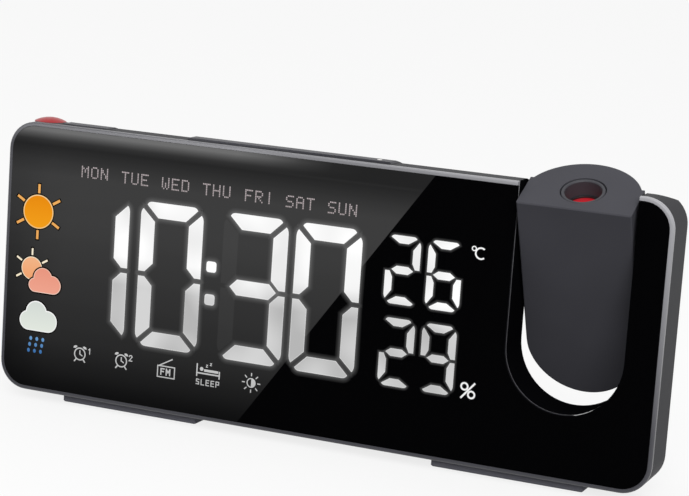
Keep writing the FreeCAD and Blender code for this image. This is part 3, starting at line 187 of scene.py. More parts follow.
def case_abs():
    """Charcoal ABS with a satin grain. The slot's walls carry painted shade, toned darker and without shine,
    as they are in the photograph.
    """
    material = dulled(grained_material("case_abs", "222226", "2A2A2E", 0.55, 0.35, 0.012), CASE_SHINE)
    tree = material.node_tree
    surface = tree.nodes["Principled BSDF"]
    # painted shade: inside the slot the case's colour turns near-black (09090B) and its shine is turned off
    parts = point_parts(tree)
    half = SLOT_SHADE_HALF * MM
    across = between(tree, parts.outputs["X"], SLOT_MIDDLE - half, SLOT_MIDDLE + half)
    up = between(tree, parts.outputs["Z"], BASE + SLOT_SHADE_LOW * MM, BASE + SLOT_SHADE_HIGH * MM)
    back = between(tree, parts.outputs["Y"], FACE + SLOT_SHADE_FRONT * MM, FACE + SLOT_SHADE_BACK * MM)
    inside = combined(tree, "MULTIPLY", combined(tree, "MULTIPLY", across, up), back)
    recolour(tree, surface, inside, "09090B")
    shine = add_node(tree, "ShaderNodeMapRange", {"To Min": CASE_SHINE, "To Max": 0.0}, {"Value": inside})
    tree.links.new(shine.outputs["Result"], surface.inputs["Specular IOR Level"])
    return material


def frame_abs():
    """Smooth ABS of the rim, with a painted highlight: it is toned lighter towards its top right, as the
    photograph's light does.
    """
    material = dulled(grained_material("frame_abs", "424247", "48484E", 0.35, 0.3, 0.004), 0.5)
    tree = material.node_tree
    surface = tree.nodes["Principled BSDF"]
    # painted highlight: the rim's colour lightens towards A4A4A8 rising to its top right
    parts = point_parts(tree)
    low, high = RIM_HIGHLIGHT_HEIGHTS
    rise = add_node(tree, "ShaderNodeMapRange", {"From Min": BASE + low * MM, "From Max": BASE + high * MM},
                    {"Value": parts.outputs["Z"]})
    left, right = RIM_HIGHLIGHT_ACROSS
    side = add_node(tree, "ShaderNodeMapRange", {"From Min": left * MM, "From Max": right * MM},
                    {"Value": parts.outputs["X"]})
    share = combined(tree, "MULTIPLY", rise.outputs["Result"], side.outputs["Result"])
    recolour(tree, surface, share, "A4A4A8")
    return material


def key_abs():
    """Charcoal ABS of the bar and the keys, a shade lighter than the case."""
    return dulled(grained_material("key_abs", "36363B", "3E3E44", 0.5, 0.3, 0.01), 0.3)


def head_abs():
    """The projector head's dark grey ABS, satin with a fine grain."""
    return dulled(grained_material("head_abs", "424247", "4A4A50", 0.5, 0.3, 0.008), 0.06)


def foot_rubber():
    """Moulded nitrile rubber: dull, mid grey, faintly dusty."""
    return grained_material("foot_rubber", "66666E", "70707A", 0.8, 0.5, 0.03)


def black_nylon():
    """Moulded black nylon and epoxy of sockets, switches and chips."""
    return grained_material("black_nylon", "101012", "17171A", 0.5, 0.3, 0.005)


def white_styrene():
    """White moulded polystyrene of the light box, which throws the light forwards."""
    return grained_material("white_styrene", "E6E6E2", "DADAD6", 0.55, 0.4, 0.005)


def solder_mask():
    """Green solder mask over glass epoxy: a glossy lacquer with faint weave."""
    return grained_material("solder_mask", "0E3B22", "124A2B", 0.3, 0.5, 0.006)


def zinc_steel():
    """Zinc-plated steel: a grey metal, finely turned."""
    return grained_material("zinc_steel", "A8AAAD", "B6B8BA", 0.34, 0.2, 0.003, metallic=1.0)


def black_steel():
    """Blackened steel of the screws: dark oxide that still shines."""
    return grained_material("black_steel", "3A3A3C", "464648", 0.4, 0.2, 0.003, metallic=1.0)


def paper_pulp():
    """Pressed black paper of the speaker's cone: matt and fibrous."""
    return grained_material("paper_pulp", "141414", "1E1E1E", 0.9, 0.6, 0.04)


def panel_acrylic():
    """Smoked acrylic polished like a mirror: black, with sharp reflections and nothing else."""
    material, tree, surface = new_material("panel_acrylic")
    surface.inputs["Base Color"].default_value = linear("050506")
    surface.inputs["Roughness"].default_value = 0.03
    surface.inputs["IOR"].default_value = 1.49
    return material


def clear_acrylic(name, colour, roughness):
    """Clear moulded acrylic, tinted by what lies behind it."""
    material, tree, surface = new_material(name)
    surface.inputs["Base Color"].default_value = linear(colour)
    surface.inputs["Roughness"].default_value = roughness
    surface.inputs["IOR"].default_value = 1.49
    surface.inputs["Coat Weight"].default_value = 0.5
    return material


def red_styrene():
    """Glossy red styrene of the round button: saturated, with a small wet highlight."""
    return dulled(grained_material("red_styrene", "96060F", "A2101A", 0.3, 0.5, 0.002), 0.3)


def optical_glass():
    """The lens: coated glass with the red light behind it showing as a deep glow."""
    material, tree, surface = new_material("optical_glass")
    surface.inputs["Base Color"].default_value = linear("5A0A12")
    surface.inputs["Roughness"].default_value = 0.04
    surface.inputs["IOR"].default_value = 1.52
    surface.inputs["Coat Weight"].default_value = 1.0
    surface.inputs["Emission Color"].default_value = linear("E01828")
    surface.inputs["Emission Strength"].default_value = 0.6
    return material


def lit_ink(name, low_colour, high_colour, low=0.0, high=76.0, strength=1.0):
    """Ink on the lit film, shading from one tone to another between two heights in millimetres."""
    material, tree, surface = new_material(name)
    surface.inputs["Base Color"].default_value = linear("000000")
    surface.inputs["Roughness"].default_value = 0.6
    surface.inputs["Specular IOR Level"].default_value = 0.0
    parts = point_parts(tree)
    rise = add_node(tree, "ShaderNodeMapRange", {"From Min": BASE + low * MM, "From Max": BASE + high * MM},
                    {"Value": parts.outputs["Z"]})
    shades = add_node(tree, "ShaderNodeMix", {"data_type": "RGBA"}, {"Factor": rise.outputs["Result"]})
    shades.inputs[MIX_FIRST].default_value = linear(low_colour)
    shades.inputs[MIX_SECOND].default_value = linear(high_colour)
    tree.links.new(shades.outputs[MIX_RESULT], surface.inputs["Emission Color"])
    surface.inputs["Emission Strength"].default_value = strength
    return material


def dress_nodes():
    """Gives each CAD node its finish."""
    finishes = {
        case_abs(): ("rear_cover", "battery_door"),
        frame_abs(): ("front_frame",),
        panel_acrylic(): ("front_panel",),
        key_abs(): ("snooze_bar", "roof_key", "focus_ring", "rear_key_mode", "rear_key_alarm",
                    "rear_key_radio", "rear_key_down", "rear_key_up"),
        head_abs(): ("head_front_shell", "head_rear_shell"),
        foot_rubber(): ("foot_left", "foot_right", "head_cable"),
        black_nylon(): ("board_chips", "board_link", "cell_holder", "rear_switches", "roof_switches",
                        "lens_barrel", "optic_housing", "friction_washers"),
        white_styrene(): ("display_reflector", "display_film"),
        solder_mask(): ("display_board", "main_board", "switch_board", "light_board"),
        zinc_steel(): ("board_screws", "hinge_tube", "hinge_pin", "power_inlet", "backup_cell"),
        black_steel(): ("case_screws", "head_screws", "speaker_basket", "speaker_magnet"),
        paper_pulp(): ("speaker_cone",),
        clear_acrylic("sensor_acrylic", "F4F0EA", 0.2): ("sensor_window",),
        clear_acrylic("lamp_epoxy", "F2EDD0", 0.25): ("display_leds",),
        clear_acrylic("red_epoxy", "C01018", 0.25): ("projection_light",),
        red_styrene(): ("round_button",),
        optical_glass(): ("projection_lens", "condenser_lens", "projection_slide"),
    }
    for material, names in finishes.items():
        for name in names:
            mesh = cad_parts[name].data
            mesh.materials.clear()
            mesh.materials.append(material)


def put_on_film(name, mesh, material):
    """Makes a mesh a piece of the display film, which rides on the clock."""
    mesh.materials.append(material)
    piece = bpy.data.objects.new(name, mesh)
    bpy.context.scene.collection.objects.link(piece)
    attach(piece, "clock")


def flat_piece(name, polygons, material, height=PRINT_HEIGHT):
    """Thin printed shapes on the panel's face; polygons are lists of (x, z) in millimetres."""
    points = []
    faces = []
    for polygon in polygons:
        first = len(points)
        points += [(x * MM, FACE - height, BASE + z * MM) for x, z in polygon]
        faces.append(tuple(range(first, first + len(polygon))))
    mesh = bpy.data.meshes.new(name)
    mesh.from_pydata(points, [], faces)
    put_on_film(name, mesh, material)


def disc(x, z, radius, steps=40):
    """A round shape, from its centre."""
    angles = [2 * math.pi * step / steps for step in range(steps)]
    return [(x + radius * math.cos(angle), z + radius * math.sin(angle)) for angle in angles]


def box_at(left, low, width, height):
    """A rectangle, from its lower left corner."""
    return [(left, low), (left + width, low), (left + width, low + height), (left, low + height)]


def bar_between(first, last, width):
    """A straight stroke from one point to another, with square ends."""
    start = Vector(first)
    end = Vector(last)
    along = (end - start).normalized() * (width / 2)
    across = Vector((along.y, -along.x))
    start = start - along
    end = end + along
    return [tuple(start + across), tuple(end + across), tuple(end - across), tuple(start - across)]


def stroke(points, width):
    """A drawn line through several points."""
    return [bar_between(first, last, width) for first, last in zip(points, points[1:])]


def rays(x, z, inner, outer, width, degrees):
    """Straight bars that point away from a centre, as a sun's rays."""
    bars = []
    for angle in degrees:
        along = Vector((math.cos(math.radians(angle)), math.sin(math.radians(angle))))
        centre = Vector((x, z))
        bars.append(bar_between(centre + along * inner, centre + along * outer, width))
    return bars


def ring(x, z, outer, inner, steps=40, start=0.0, turn=360.0):
    """Short flat strips round a centre that make a ring or an arc."""
    strips = []
    for step in range(steps):
        first = math.radians(start + turn * step / steps)
        last = math.radians(start + turn * (step + 1) / steps)
        corners = ((outer, first), (outer, last), (inner, last), (inner, first))
        strips.append([(x + reach * math.cos(angle), z + reach * math.sin(angle))
                       for reach, angle in corners])
    return strips


def rounded_end(tip, inner_corner, outer_corner):
    """A bar's outer corner as a short curve from its mitred tip to its straight edge."""
    curve = []
    for step in range(1, 5):
        share = step / 5
        first = Vector(tip).lerp(Vector(inner_corner), share)
        last = Vector(inner_corner).lerp(Vector(outer_corner), share)
        curve.append(tuple(first.lerp(last, share)))
    return curve


def top_bar(width, bar, scale):
    """A digit's top bar, seen from its upper left corner: (x, depth below the top)."""
    left_tip = (1.8 * scale, 0.9 * scale)
    right_tip = (width - 1.8 * scale, 0.9 * scale)
    left_flat = (3.4 * scale, 0.0)
    right_flat = (width - 3.4 * scale, 0.0)
    left_turn = rounded_end(left_tip, (2.2 * scale, 0.0), left_flat)
    right_turn = rounded_end(right_tip, (width - 2.2 * scale, 0.0), right_flat)
    lower = [(width - 5.3 * scale, bar), (5.3 * scale, bar)]
    return [left_tip, *left_turn, left_flat, right_flat, *reversed(right_turn), right_tip, *lower]


def upright_bar(height, bar, scale):
    """A digit's upper left bar, seen from its upper left corner: (x, depth below the top)."""
    half = height / 2
    tip = (0.65 * scale, 2.0 * scale)
    side = (0.0, 4.0 * scale)
    turn = rounded_end(tip, (0.0, 2.6 * scale), side)
    lower = [(0.0, half - 0.7 * scale), (1.9 * scale, half - 0.7 * scale), (bar, half - 3.1 * scale)]
    return [tip, *turn, side, *lower, (bar, 5.4 * scale)]


def middle_bar(width, height, bar, scale):
    """A digit's middle bar, seen from its upper left corner: (x, depth below the top)."""
    half = height / 2
    tip = 2.6 * scale
    shoulder = 4.75 * scale
    thick = bar / 2
    return [(tip, half), (shoulder, half - thick), (width - shoulder, half - thick),
            (width - tip, half), (width - shoulder, half + thick), (shoulder, half + thick)]


def digit_bar(kind, left, low, width, height, bar, scale):
    """One of a digit's seven bars, with its mitred and rounded ends, as (x, z) corners."""
    if kind in ("top", "bottom"):
        shape = top_bar(width, bar, scale)
    elif kind == "middle":
        shape = middle_bar(width, height, bar, scale)
    else:
        shape = upright_bar(height, bar, scale)
    flipped = kind == "bottom" or kind.startswith("lower")
    mirrored = kind.endswith("right")
    corners = []
    for x, depth in shape:
        corners.append((left + (width - x if mirrored else x), low + (depth if flipped else height - depth)))
    area = sum(one[0] * two[1] - two[0] * one[1] for one, two in zip(corners, corners[1:] + corners[:1]))
    return corners if area > 0 else corners[::-1]


SHOWN = {
    "0": ("top", "bottom", "upper_left", "lower_left", "upper_right", "lower_right"),
    "1": ("upper_right", "lower_right"),
    "2": ("top", "middle", "bottom", "upper_right", "lower_left"),
    "3": ("top", "middle", "bottom", "upper_right", "lower_right"),
    "6": ("top", "middle", "bottom", "upper_left", "lower_left", "lower_right"),
    "9": ("top", "middle", "bottom", "upper_left", "upper_right", "lower_right"),
}


def digit(character, left, low, width, height, bar, scale):
    """The lit bars of a digit; scale sizes the mitred ends and the gaps between the bars."""
    return [digit_bar(kind, left, low, width, height, bar, scale) for kind in SHOWN[character]]


def grown(polygon, reach):
    """A convex outline pushed outwards all round."""
    moved = []
    count = len(polygon)
    for index in range(count):
        before = Vector(polygon[index - 1])
        here = Vector(polygon[index])
        after = Vector(polygon[(index + 1) % count])
        into = (here - before).normalized()
        out = (after - here).normalized()
        normal_in = Vector((into.y, -into.x))
        normal_out = Vector((out.y, -out.x))
        middle = (normal_in + normal_out).normalized()
        spread = max(middle.dot(normal_out), 0.85)
        moved.append(tuple(here + middle * (reach / spread)))
    return moved


def soft_square(x, z, half, corner):
    """A square with round corners, from its centre."""
    corners = []
    for turn in range(4):
        centre = Vector((half - corner, half - corner))
        for step in range(5):
            angle = math.radians(turn * 90 + step * 22.5)
            point = Matrix.Rotation(math.radians(turn * 90), 2) @ centre
            corners.append((x + point.x + corner * math.cos(angle), z + point.y + corner * math.sin(angle)))
    return corners


def rims(polygons, width):
    """Thin strips just inside outlines."""
    strips = []
    for outer in polygons:
        polygon = grown(outer, -width)
        count = len(polygon)
        for index in range(count):
            following = (index + 1) % count
            strips.append([polygon[index], outer[index], outer[following], polygon[following]])
    return strips


def halo(name, polygons, material, reach, filled=False):
    """The soft light round bars: rings whose brightness, kept on their corners, dies away."""
    levels = ((0.0, 1.0), (0.25, 0.62), (0.55, 0.25), (1.0, 0.0))
    points = []
    faces = []
    glow = []
    for layer, polygon in enumerate(polygons):
        height = (0.003 + 0.0004 * layer) * MM
        count = len(polygon)
        first = len(points)
        for share, brightness in levels:
            outline = grown(polygon, reach * share)
            points += [(x * MM, FACE - height, BASE + z * MM) for x, z in outline]
            glow += [brightness] * count
        if filled:
            faces.append(tuple(range(first, first + count)))
        for level in range(len(levels) - 1):
            inner = first + level * count
            outer = inner + count
            for index in range(count):
                following = (index + 1) % count
                faces.append((inner + index, outer + index, outer + following, inner + following))
    mesh = bpy.data.meshes.new(name)
    mesh.from_pydata(points, [], faces)
    marks = mesh.color_attributes.new("glow", "FLOAT_COLOR", "POINT")
    for index, brightness in enumerate(glow):
        marks.data[index].color = (brightness, brightness, brightness, 1.0)
    put_on_film(name, mesh, material)


def stray_light(name, strength):
    """Light that strays in the film round each lit bar: adds to the panel and hides nothing."""
    material, tree = bare_material(name)
    marks = add_node(tree, "ShaderNodeVertexColor", {"layer_name": "glow"})
    light = add_node(tree, "ShaderNodeEmission", {"Strength": strength}, {"Color": marks.outputs["Color"]})
    clear = add_node(tree, "ShaderNodeBsdfTransparent")
    both = add_node(tree, "ShaderNodeAddShader")
    tree.links.new(light.outputs["Emission"], both.inputs[0])
    tree.links.new(clear.outputs["BSDF"], both.inputs[1])
    add_node(tree, "ShaderNodeOutputMaterial", links={"Surface": both.outputs["Shader"]})
    return material


def lit_segments():
    """Light through white film: bright in the upper halves, greyer below, with soft patches."""
    material, tree, surface = new_material("lit_film")
    surface.inputs["Base Color"].default_value = linear("000000")
    surface.inputs["Specular IOR Level"].default_value = 0.0
    surface.inputs["Roughness"].default_value = 0.6
    place = add_node(tree, "ShaderNodeTexCoord")
    parts = add_node(tree, "ShaderNodeSeparateXYZ", links={"Vector": place.outputs["Object"]})
    rise = add_node(tree, "ShaderNodeMapRange",
                    {"From Min": BASE + 34 * MM, "From Max": BASE + 42 * MM, "To Min": 0.54, "To Max": 0.9},
                    {"Value": parts.outputs["Z"]})
    patches = add_node(tree, "ShaderNodeTexNoise", {"Scale": 1 / (11 * MM), "Detail": 0.0},
                       {"Vector": place.outputs["Object"]})
    uneven = add_node(tree, "ShaderNodeMapRange",
                      {"From Min": 0.3, "From Max": 0.7, "To Min": -0.07, "To Max": 0.12},
                      {"Value": patches.outputs["Fac"]})
    total = combined(tree, "ADD", rise.outputs["Result"], uneven.outputs["Result"])
    surface.inputs["Emission Color"].default_value = linear("FFFFFF")
    tree.links.new(total, surface.inputs["Emission Strength"])
    return material


def show_time():
    """The large digits with their colon, and the two small readings."""
    film = lit_segments()
    glow = stray_light("stray_light", 0.085)
    edge = lit_ink("lit_rims", "E2E2E2", "FFFFFF", 30, 45)
    shapes = []
    for character, left in zip("1030", TIME_LEFTS):
        shapes += digit(character, left, TIME_LOW, *LARGE_DIGIT)
    shapes += [soft_square(-30.6, level, 1.5, 0.7) for level in (33.6, 42.65)]
    flat_piece("time_digits", shapes, film)
    flat_piece("time_rims", rims(shapes, 0.16), edge)
    halo("time_glow", shapes, glow, 1.5)
    small = []
    for reading, low in (("26", 40.0), ("29", 18.0)):
        for character, left in zip(reading, (19.6, 31.2)):
            small += digit(character, left, low, *SMALL_DIGIT)
    flat_piece("reading_digits", small, film)
    flat_piece("reading_rims", rims(small, 0.1), edge)
    halo("reading_glow", small, glow, 0.8)
    units = ring(43.6, 57.4, 0.7, 0.4, 20)
    units += ring(45.5, 56.3, 1.65, 1.2, 24, 50, 260)
    units += ring(43.9, 21.1, 1.15, 0.65, 24) + ring(45.9, 19.1, 1.15, 0.65, 24)
    units += stroke([(43.2, 18.1), (46.6, 22.1)], 0.5)
    flat_piece("reading_units", units, lit_ink("lit_units", "E6E6E6", "F4F4F4"))
    three = TIME_LEFTS[2]
    dark = [digit_bar(kind, three, TIME_LOW, *LARGE_DIGIT) for kind in ("upper_left", "lower_left")]
    halo("unlit_bars", dark, stray_light("unlit_film", 0.009), 0.2, filled=True)


# each letter of the weekdays as seven rows of five dots
LETTERS = {
    "A": "01110 10001 10001 11111 10001 10001 10001",
    "D": "11110 10001 10001 10001 10001 10001 11110",
    "E": "11111 10000 10000 11110 10000 10000 11111",
    "F": "11111 10000 10000 11110 10000 10000 10000",
    "H": "10001 10001 10001 11111 10001 10001 10001",
    "I": "00100 00100 00100 00100 00100 00100 00100",
    "M": "10001 11011 10101 10101 10001 10001 10001",
    "N": "10001 11001 11001 10101 10011 10011 10001",
    "O": "01110 10001 10001 10001 10001 10001 01110",
    "R": "11110 10001 10001 11110 10100 10010 10001",
    "S": "01111 10000 10000 01110 00001 00001 11110",
    "T": "11111 00100 00100 00100 00100 00100 00100",
    "U": "10001 10001 10001 10001 10001 10001 01110",
    "W": "10001 10001 10001 10101 10101 10101 01010",
}


def show_weekdays():
    """The row of weekdays in small dots."""
    starts = (-71.8, -59.3, -46.9, -34.5, -21.9, -9.9, 2.3)
    words = ("MON", "TUE", "WED", "THU", "FRI", "SAT", "SUN")
    pitch = 0.47
    dots = []
    for order, (word, left) in enumerate(zip(words, starts)):
        low = 62.4 - 0.15 * order
        for place, letter in enumerate(word):
            for row, cells in enumerate(LETTERS[letter].split()):
                for column, cell in enumerate(cells):
                    if cell == "1":
                        x = left + place * 3.0 + column * pitch
                        dots.append(box_at(x, low + (6 - row) * pitch, 0.34, 0.36))
    flat_piece("weekday_dots", dots, lit_ink("lit_dots", "AEA4A5", "BDB2B4", 61, 66))


def cloud(base, lobes, low_left, low_right):
    """A cloud as its round lobes on a flat foot."""
    shapes = [disc(x, z, radius) for x, z, radius in lobes]
    shapes.append(box_at(low_left, base, low_right - low_left, lobes[0][1] - base))
    shapes.append(disc(low_right, lobes[2][1] - 0.2, lobes[2][1] - base - 0.2, 24))
    return shapes


def show_weather():
    """The three weather pictures: sun, sun and cloud, cloud and rain, each with a dark gap round it."""
    orange = lit_ink("sun_orange", "F3A01C", "E88A10", 46, 56)
    pale = lit_ink("sun_outline", "F2C684", "F6D29C", 46, 56)
    amber = lit_ink("sun_rays", "EBA85C", "F0B060", 42, 60)
    cream = lit_ink("small_sun_rays", "F4E6C8", "F8EED6", 30, 41)
    peach = lit_ink("sun_peach", "F0A06A", "F3B88C", 31, 39)
    pink = lit_ink("cloud_pink", "EFA48E", "E8957E", 28, 36)
    rose = lit_ink("cloud_outline", "F8D4C4", "F4C4B0", 28, 36)
    white = lit_ink("cloud_white", "F0F2F0", "FAFAFA", 17, 26)
    grey = lit_ink("cloud_grey", "E2E8DF", "D2D9D4", 17, 26)
    blue = lit_ink("rain_blue", "3C6EA8", "6FA0D0", 11, 16)
    black = lit_ink("print_gap", "14100E", "1C1614", 10, 60, 0.6)
    sun_x, sun_z = -84.9, 51.1
    sixths = range(30, 390, 60)
    gap = [disc(sun_x, sun_z, 5.1)] + rays(sun_x, sun_z, 5.5, 7.5, 1.3, sixths)
    flat_piece("sun_gap", gap, black, 0.006 * MM)
    flat_piece("sun_outline", ring(sun_x, sun_z, 4.8, 4.5), pale, 0.012 * MM)
    flat_piece("sun", [disc(sun_x, sun_z, 4.55)], orange, 0.009 * MM)
    flat_piece("sun_rays", rays(sun_x, sun_z, 5.6, 7.4, 0.75, sixths), amber, 0.012 * MM)
    small_x, small_z = -86.2, 34.9
    some = (30, 90, 150, 210)
    gap = [disc(small_x, small_z, 3.6)] + rays(small_x, small_z, 3.9, 5.6, 1.0, some)
    flat_piece("small_sun_gap", gap, black, 0.003 * MM)
    flat_piece("small_sun", [disc(small_x, small_z, 3.15)], peach, 0.006 * MM)
    flat_piece("small_sun_outline", ring(small_x, small_z, 3.3, 3.1), cream, 0.007 * MM)
    flat_piece("small_sun_rays", rays(small_x, small_z, 4.0, 5.4, 0.55, some), cream, 0.007 * MM)
    lobes = ((-85.0, 30.3, 1.9), (-82.5, 32.4, 2.9), (-79.4, 31.0, 2.4))
    for name, change, ink, height in (("cloud_gap", 0.5, black, 0.011), ("cloud_outline", 0.1, rose, 0.014),
                                      ("cloud", -0.1, pink, 0.017)):
        shape = [(x, z, radius + change) for x, z, radius in lobes]
        flat_piece(name, cloud(28.4 - change, shape, -85.0, -79.2), ink, height * MM)
    lobes = ((-86.6, 20.0, 2.8), (-84.1, 22.4, 3.4), (-80.4, 20.4, 3.0))
    for name, change, ink, height in (("rain_cloud_gap", 0.35, black, 0.009),
                                      ("rain_cloud_outline", 0.0, white, 0.012),
                                      ("rain_cloud", -0.3, grey, 0.015)):
        shape = [(x, z, radius + change) for x, z, radius in lobes]
        flat_piece(name, cloud(17.2 - change, shape, -86.6, -80.4), ink, height * MM)
    drops = []
    for column in range(3):
        for row in range(3):
            x = -85.5 + 1.95 * column - 0.3 * row
            z = 15.3 - 1.75 * row
            drops.append([(x + side * 0.45, z - 0.35 + rise * 0.58) for side, rise in disc(0, 0, 1, 14)])
    flat_piece("rain_drops", drops, blue)


def alarm_sign(x, z):
    """An alarm clock: a ring with two hands, two bells and two feet."""
    shapes = ring(x, z, 1.85, 1.5, 28)
    shapes += stroke([(x, z + 0.9), (x, z), (x + 0.7, z - 0.4)], 0.32)
    for side in (-1, 1):
        shapes += ring(x + side * 1.35, z + 1.55, 0.75, 0.0, 10, 0 if side > 0 else 45, 135)
        shapes += stroke([(x + side * 1.15, z - 1.55), (x + side * 1.6, z - 2.1)], 0.4)
    return shapes


# small letters as strokes on a field 2 wide and 3 high
STROKES = {
    "1": (((0.3, 2.4), (1.0, 3.0), (1.0, 0.0)),),
    "2": (((0.1, 2.4), (0.5, 3.0), (1.5, 3.0), (1.9, 2.3), (0.1, 0.0), (1.9, 0.0)),),
    "E": (((1.8, 3.0), (0.1, 3.0), (0.1, 0.0), (1.8, 0.0)), ((0.1, 1.55), (1.6, 1.55))),
    "F": (((1.8, 3.0), (0.1, 3.0), (0.1, 0.0)), ((0.1, 1.55), (1.5, 1.55))),
    "L": (((0.1, 3.0), (0.1, 0.0), (1.8, 0.0)),),
    "M": (((0.0, 0.0), (0.0, 3.0), (1.0, 1.3), (2.0, 3.0), (2.0, 0.0)),),
    "P": (((0.1, 0.0), (0.1, 3.0), (1.8, 3.0), (1.8, 1.4), (0.1, 1.4)),),
    "S": (((1.8, 2.8), (0.3, 3.0), (0.2, 1.7), (1.7, 1.4), (1.7, 0.1), (0.1, 0.2)),),
    "z": (((0.1, 2.2), (1.7, 2.2), (0.1, 0.0), (1.7, 0.0)),),
}


def lettering(word, left, low, height, pitch, width):
    """Small strokes of a word, from its lower left corner."""
    scale = height / 3
    shapes = []
    for place, letter in enumerate(word):
        for line in STROKES[letter]:
            points = [(left + place * pitch + x * scale, low + z * scale) for x, z in line]
            shapes += stroke(points, width)
    return shapes


def show_signs():
    """The row of functions: two alarms, radio, sleep and brightness."""
    shapes = alarm_sign(-69.6, 12.7) + lettering("1", -67.0, 13.1, 1.5, 1.2, 0.26)
    shapes += alarm_sign(-56.5, 12.7) + lettering("2", -54.1, 13.1, 1.5, 1.2, 0.26)
    radio = [(-45.1, 13.2), (-45.1, 10.1), (-39.9, 10.1), (-39.9, 13.2), (-45.1, 13.2)]
    shapes += stroke(radio, 0.32) + stroke([(-44.6, 13.3), (-40.8, 15.4)], 0.3)
    shapes += lettering("FM", -44.1, 10.85, 1.6, 1.7, 0.36)
    shapes += stroke([(-33.1, 15.4), (-33.1, 12.2)], 0.36) + stroke([(-33.1, 13.0), (-26.3, 13.0)], 0.4)
    shapes += stroke([(-26.3, 14.0), (-26.3, 12.2)], 0.36)
    shapes += [disc(-31.7, 14.2, 0.55, 16)] + stroke([(-30.6, 13.9), (-27.0, 13.9)], 0.7)
    shapes += lettering("z", -30.4, 14.9, 0.8, 0.8, 0.18) + lettering("z", -29.2, 15.5, 0.8, 0.8, 0.18)
    shapes += lettering("SLEEP", -33.2, 9.8, 1.45, 1.5, 0.27)
    shapes += ring(-16.7, 12.6, 1.35, 1.05, 24) + ring(-16.7, 12.6, 1.1, 0.0, 14, -90, 180)
    shapes += rays(-16.7, 12.6, 2.0, 2.6, 0.3, range(0, 360, 45))
    flat_piece("function_signs", shapes, lit_ink("lit_signs", "B4B4B4", "CACACA", 9, 16))


# the panel's glare as a ramp: heights above the case's foot in millimetres, each with an sRGB grey
GLARE_TONES = ((0, 12), (2, 14), (8, 27), (16, 40), (30, 49), (50, 61), (62, 62), (66, 52),
               (70, 38), (71.5, 50), (74, 112), (80, 118))
GLARE_LEFT = -99.0
GLARE_RIGHT = 94.0
GLARE_HIGH = 75.0
CARD_DISTANCE = 8.0

# how bright the card is, so that the panel's faint mirroring gives the greys above
CARD_LIGHT = 24.0


def glare_tone(x, z):
    """The grey that the panel mirrors at one of its points."""
    for (low, low_tone), (high, high_tone) in zip(GLARE_TONES, GLARE_TONES[1:]):
        if low <= z <= high:
            tone = low_tone + (high_tone - low_tone) * (z - low) / (high - low)
            break
    if z > 70.5:
        share = min(max((x + 26) / 34, 0.0), 1.0)
        tone += (36 - tone) * share * share * (3 - 2 * share)
    edge = min(max((-80 - x) / 16, 0.0), 1.0)
    return tone * (1 - 0.45 * edge * (1 - z / 90))


def glare_edge(z):
    """Where the grey glare ends, on a slanted line across the panel."""
    return -21.0 + 52.5 * z / 74.8


def mirrored_place(x, z):
    """The point of the card that the photograph's camera sees in the panel at (x, z)."""
    share = CARD_DISTANCE / CAMERA_AHEAD
    across = x + (x - CAMERA_X) * share
    up = z + (z - CAMERA_Z) * share
    return (across * MM, FACE - CARD_DISTANCE * MM, BASE + up * MM)


def studio_cards():
    """The graded card and the black flag that the glossy panel mirrors; nothing else sees them."""
    columns = 14
    levels = [2.0 * step for step in range(34)] + [67.0 + 0.5 * step for step in range(27)]
    points = []
    tones = []
    for z in levels:
        edge = glare_edge(z)
        for column in range(columns + 1):
            x = GLARE_LEFT + (edge - GLARE_LEFT) * column / columns
            points.append(mirrored_place(x, z))
            tones.append(glare_tone(x, z))
    faces = []
    for row in range(len(levels) - 1):
        for column in range(columns):
            first = row * (columns + 1) + column
            faces.append((first, first + 1, first + columns + 2, first + columns + 1))
    mesh = bpy.data.meshes.new("graded_card")
    mesh.from_pydata(points, [], faces)
    marks = mesh.color_attributes.new("tone", "FLOAT_COLOR", "POINT")
    for index, tone in enumerate(tones):
        level = linear("%02X%02X%02X" % ((round(tone),) * 3))[0]
        marks.data[index].color = (level, level, level, 1.0)
    card, tree = bare_material("graded_card")
    tone = add_node(tree, "ShaderNodeVertexColor", {"layer_name": "tone"})
    light = add_node(tree, "ShaderNodeEmission", {"Strength": CARD_LIGHT}, {"Color": tone.outputs["Color"]})
    add_node(tree, "ShaderNodeOutputMaterial", links={"Surface": light.outputs["Emission"]})
    mesh.materials.append(card)
    flag_outline = [(glare_edge(0), 0), (GLARE_RIGHT, 0), (GLARE_RIGHT, GLARE_HIGH),
                    (glare_edge(GLARE_HIGH), GLARE_HIGH)]
    flag = bpy.data.meshes.new("black_flag")
    flag.from_pydata([mirrored_place(x, z) for x, z in flag_outline], [], [(0, 1, 2, 3)])
    black, tree, surface = new_material("black_velvet")
    surface.inputs["Base Color"].default_value = linear("000000")
    surface.inputs["Specular IOR Level"].default_value = 0.0
    flag.materials.append(black)
    for shape in (mesh, flag):
        screen = bpy.data.objects.new(shape.name, shape)
        bpy.context.scene.collection.objects.link(screen)
        screen.visible_camera = False
        screen.visible_diffuse = False
        screen.visible_shadow = False
        screen.visible_transmission = False


def seen_directly(tree):
    """1 for rays from the camera, a mirror or glass, and 0 for the light that falls on things."""
    path = add_node(tree, "ShaderNodeLightPath")
    seen = combined(tree, "MAXIMUM", path.outputs["Is Camera Ray"], path.outputs["Is Glossy Ray"])
    return combined(tree, "MAXIMUM", seen, path.outputs["Is Transmission Ray"])


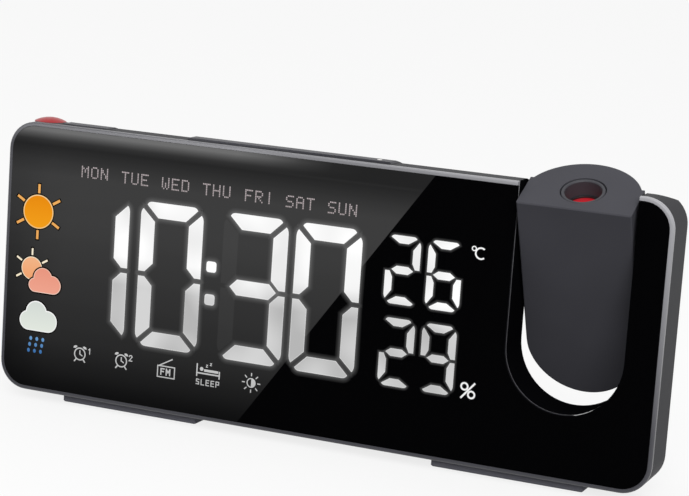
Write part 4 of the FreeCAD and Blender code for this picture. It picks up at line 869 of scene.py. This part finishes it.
def backdrop():
    """A plain white floor that keeps the clock's shadow."""
    material, tree = bare_material("studio_floor")
    paper = add_node(tree, "ShaderNodeBsdfDiffuse", {"Color": linear("F0F0F0")})
    lift = add_node(tree, "ShaderNodeEmission", {"Color": linear("FFFFFF")},
                    {"Strength": seen_directly(tree)})
    share = add_node(tree, "ShaderNodeMixShader", {"Fac": FLOOR_LIFT})
    tree.links.new(paper.outputs["BSDF"], share.inputs[1])
    tree.links.new(lift.outputs["Emission"], share.inputs[2])
    add_node(tree, "ShaderNodeOutputMaterial", links={"Surface": share.outputs["Shader"]})
    mesh = bpy.data.meshes.new("studio_floor")
    corners = ((-1, -1), (1, -1), (1, 1), (-1, 1))
    points = [(x * FLOOR_REACH, y * FLOOR_REACH, 0) for x, y in corners]
    mesh.from_pydata(points, [], [(0, 1, 2, 3)])
    mesh.materials.append(material)
    floor = bpy.data.objects.new("studio_floor", mesh)
    bpy.context.scene.collection.objects.link(floor)


def studio_light(name, place, target, power, width, height):
    """A soft rectangular lamp that faces a point."""
    lamp = bpy.data.lights.new(name, "AREA")
    lamp.shape = "RECTANGLE"
    lamp.size = width
    lamp.size_y = height
    lamp.energy = power
    holder = bpy.data.objects.new(name, lamp)
    holder.location = place
    holder.rotation_euler = (Vector(target) - Vector(place)).to_track_quat("-Z", "Y").to_euler()
    bpy.context.scene.collection.objects.link(holder)


def light_the_studio():
    """A plain white world, a little dimmer where it falls on things than as it is seen, and one lamp."""
    world = bpy.data.worlds.new("studio_air")
    bpy.context.scene.world = world
    world.use_nodes = True
    tree = world.node_tree
    air = tree.nodes["Background"]
    air.inputs["Color"].default_value = linear("FFFFFF")
    level = add_node(tree, "ShaderNodeMapRange", {"To Min": 0.75, "To Max": 1.0},
                     {"Value": seen_directly(tree)})
    tree.links.new(level.outputs["Result"], air.inputs["Strength"])
    studio_light("key_light", (0.6, -1.2, 0.8), (0, 0, 0.04), 15, 0.9, 0.9)


def aim_camera():
    """The photograph's view, solved from the clock's corners, its slot and its head."""
    camera = bpy.data.cameras.new("photo_view")
    camera.lens = 113.5
    camera.sensor_width = 36.0
    holder = bpy.data.objects.new("photo_view", camera)
    right = Vector((0.92000, 0.38586, 0.06860))
    down = Vector((0.12788, -0.13012, -0.98322))
    ahead = Vector((-0.37046, 0.91333, -0.16905))
    turn = Matrix((right, -down, -ahead)).transposed().to_4x4()
    place = Vector((CAMERA_X * MM, FACE - CAMERA_AHEAD * MM, BASE + CAMERA_Z * MM))
    holder.matrix_world = Matrix.Translation(place) @ turn
    bpy.context.scene.collection.objects.link(holder)
    bpy.context.scene.camera = holder


aim_camera()
light_the_studio()
backdrop()
studio_cards()
dress_nodes()
show_time()
show_weekdays()
show_weather()
show_signs()
bpy.context.scene.view_settings.view_transform = "Standard"
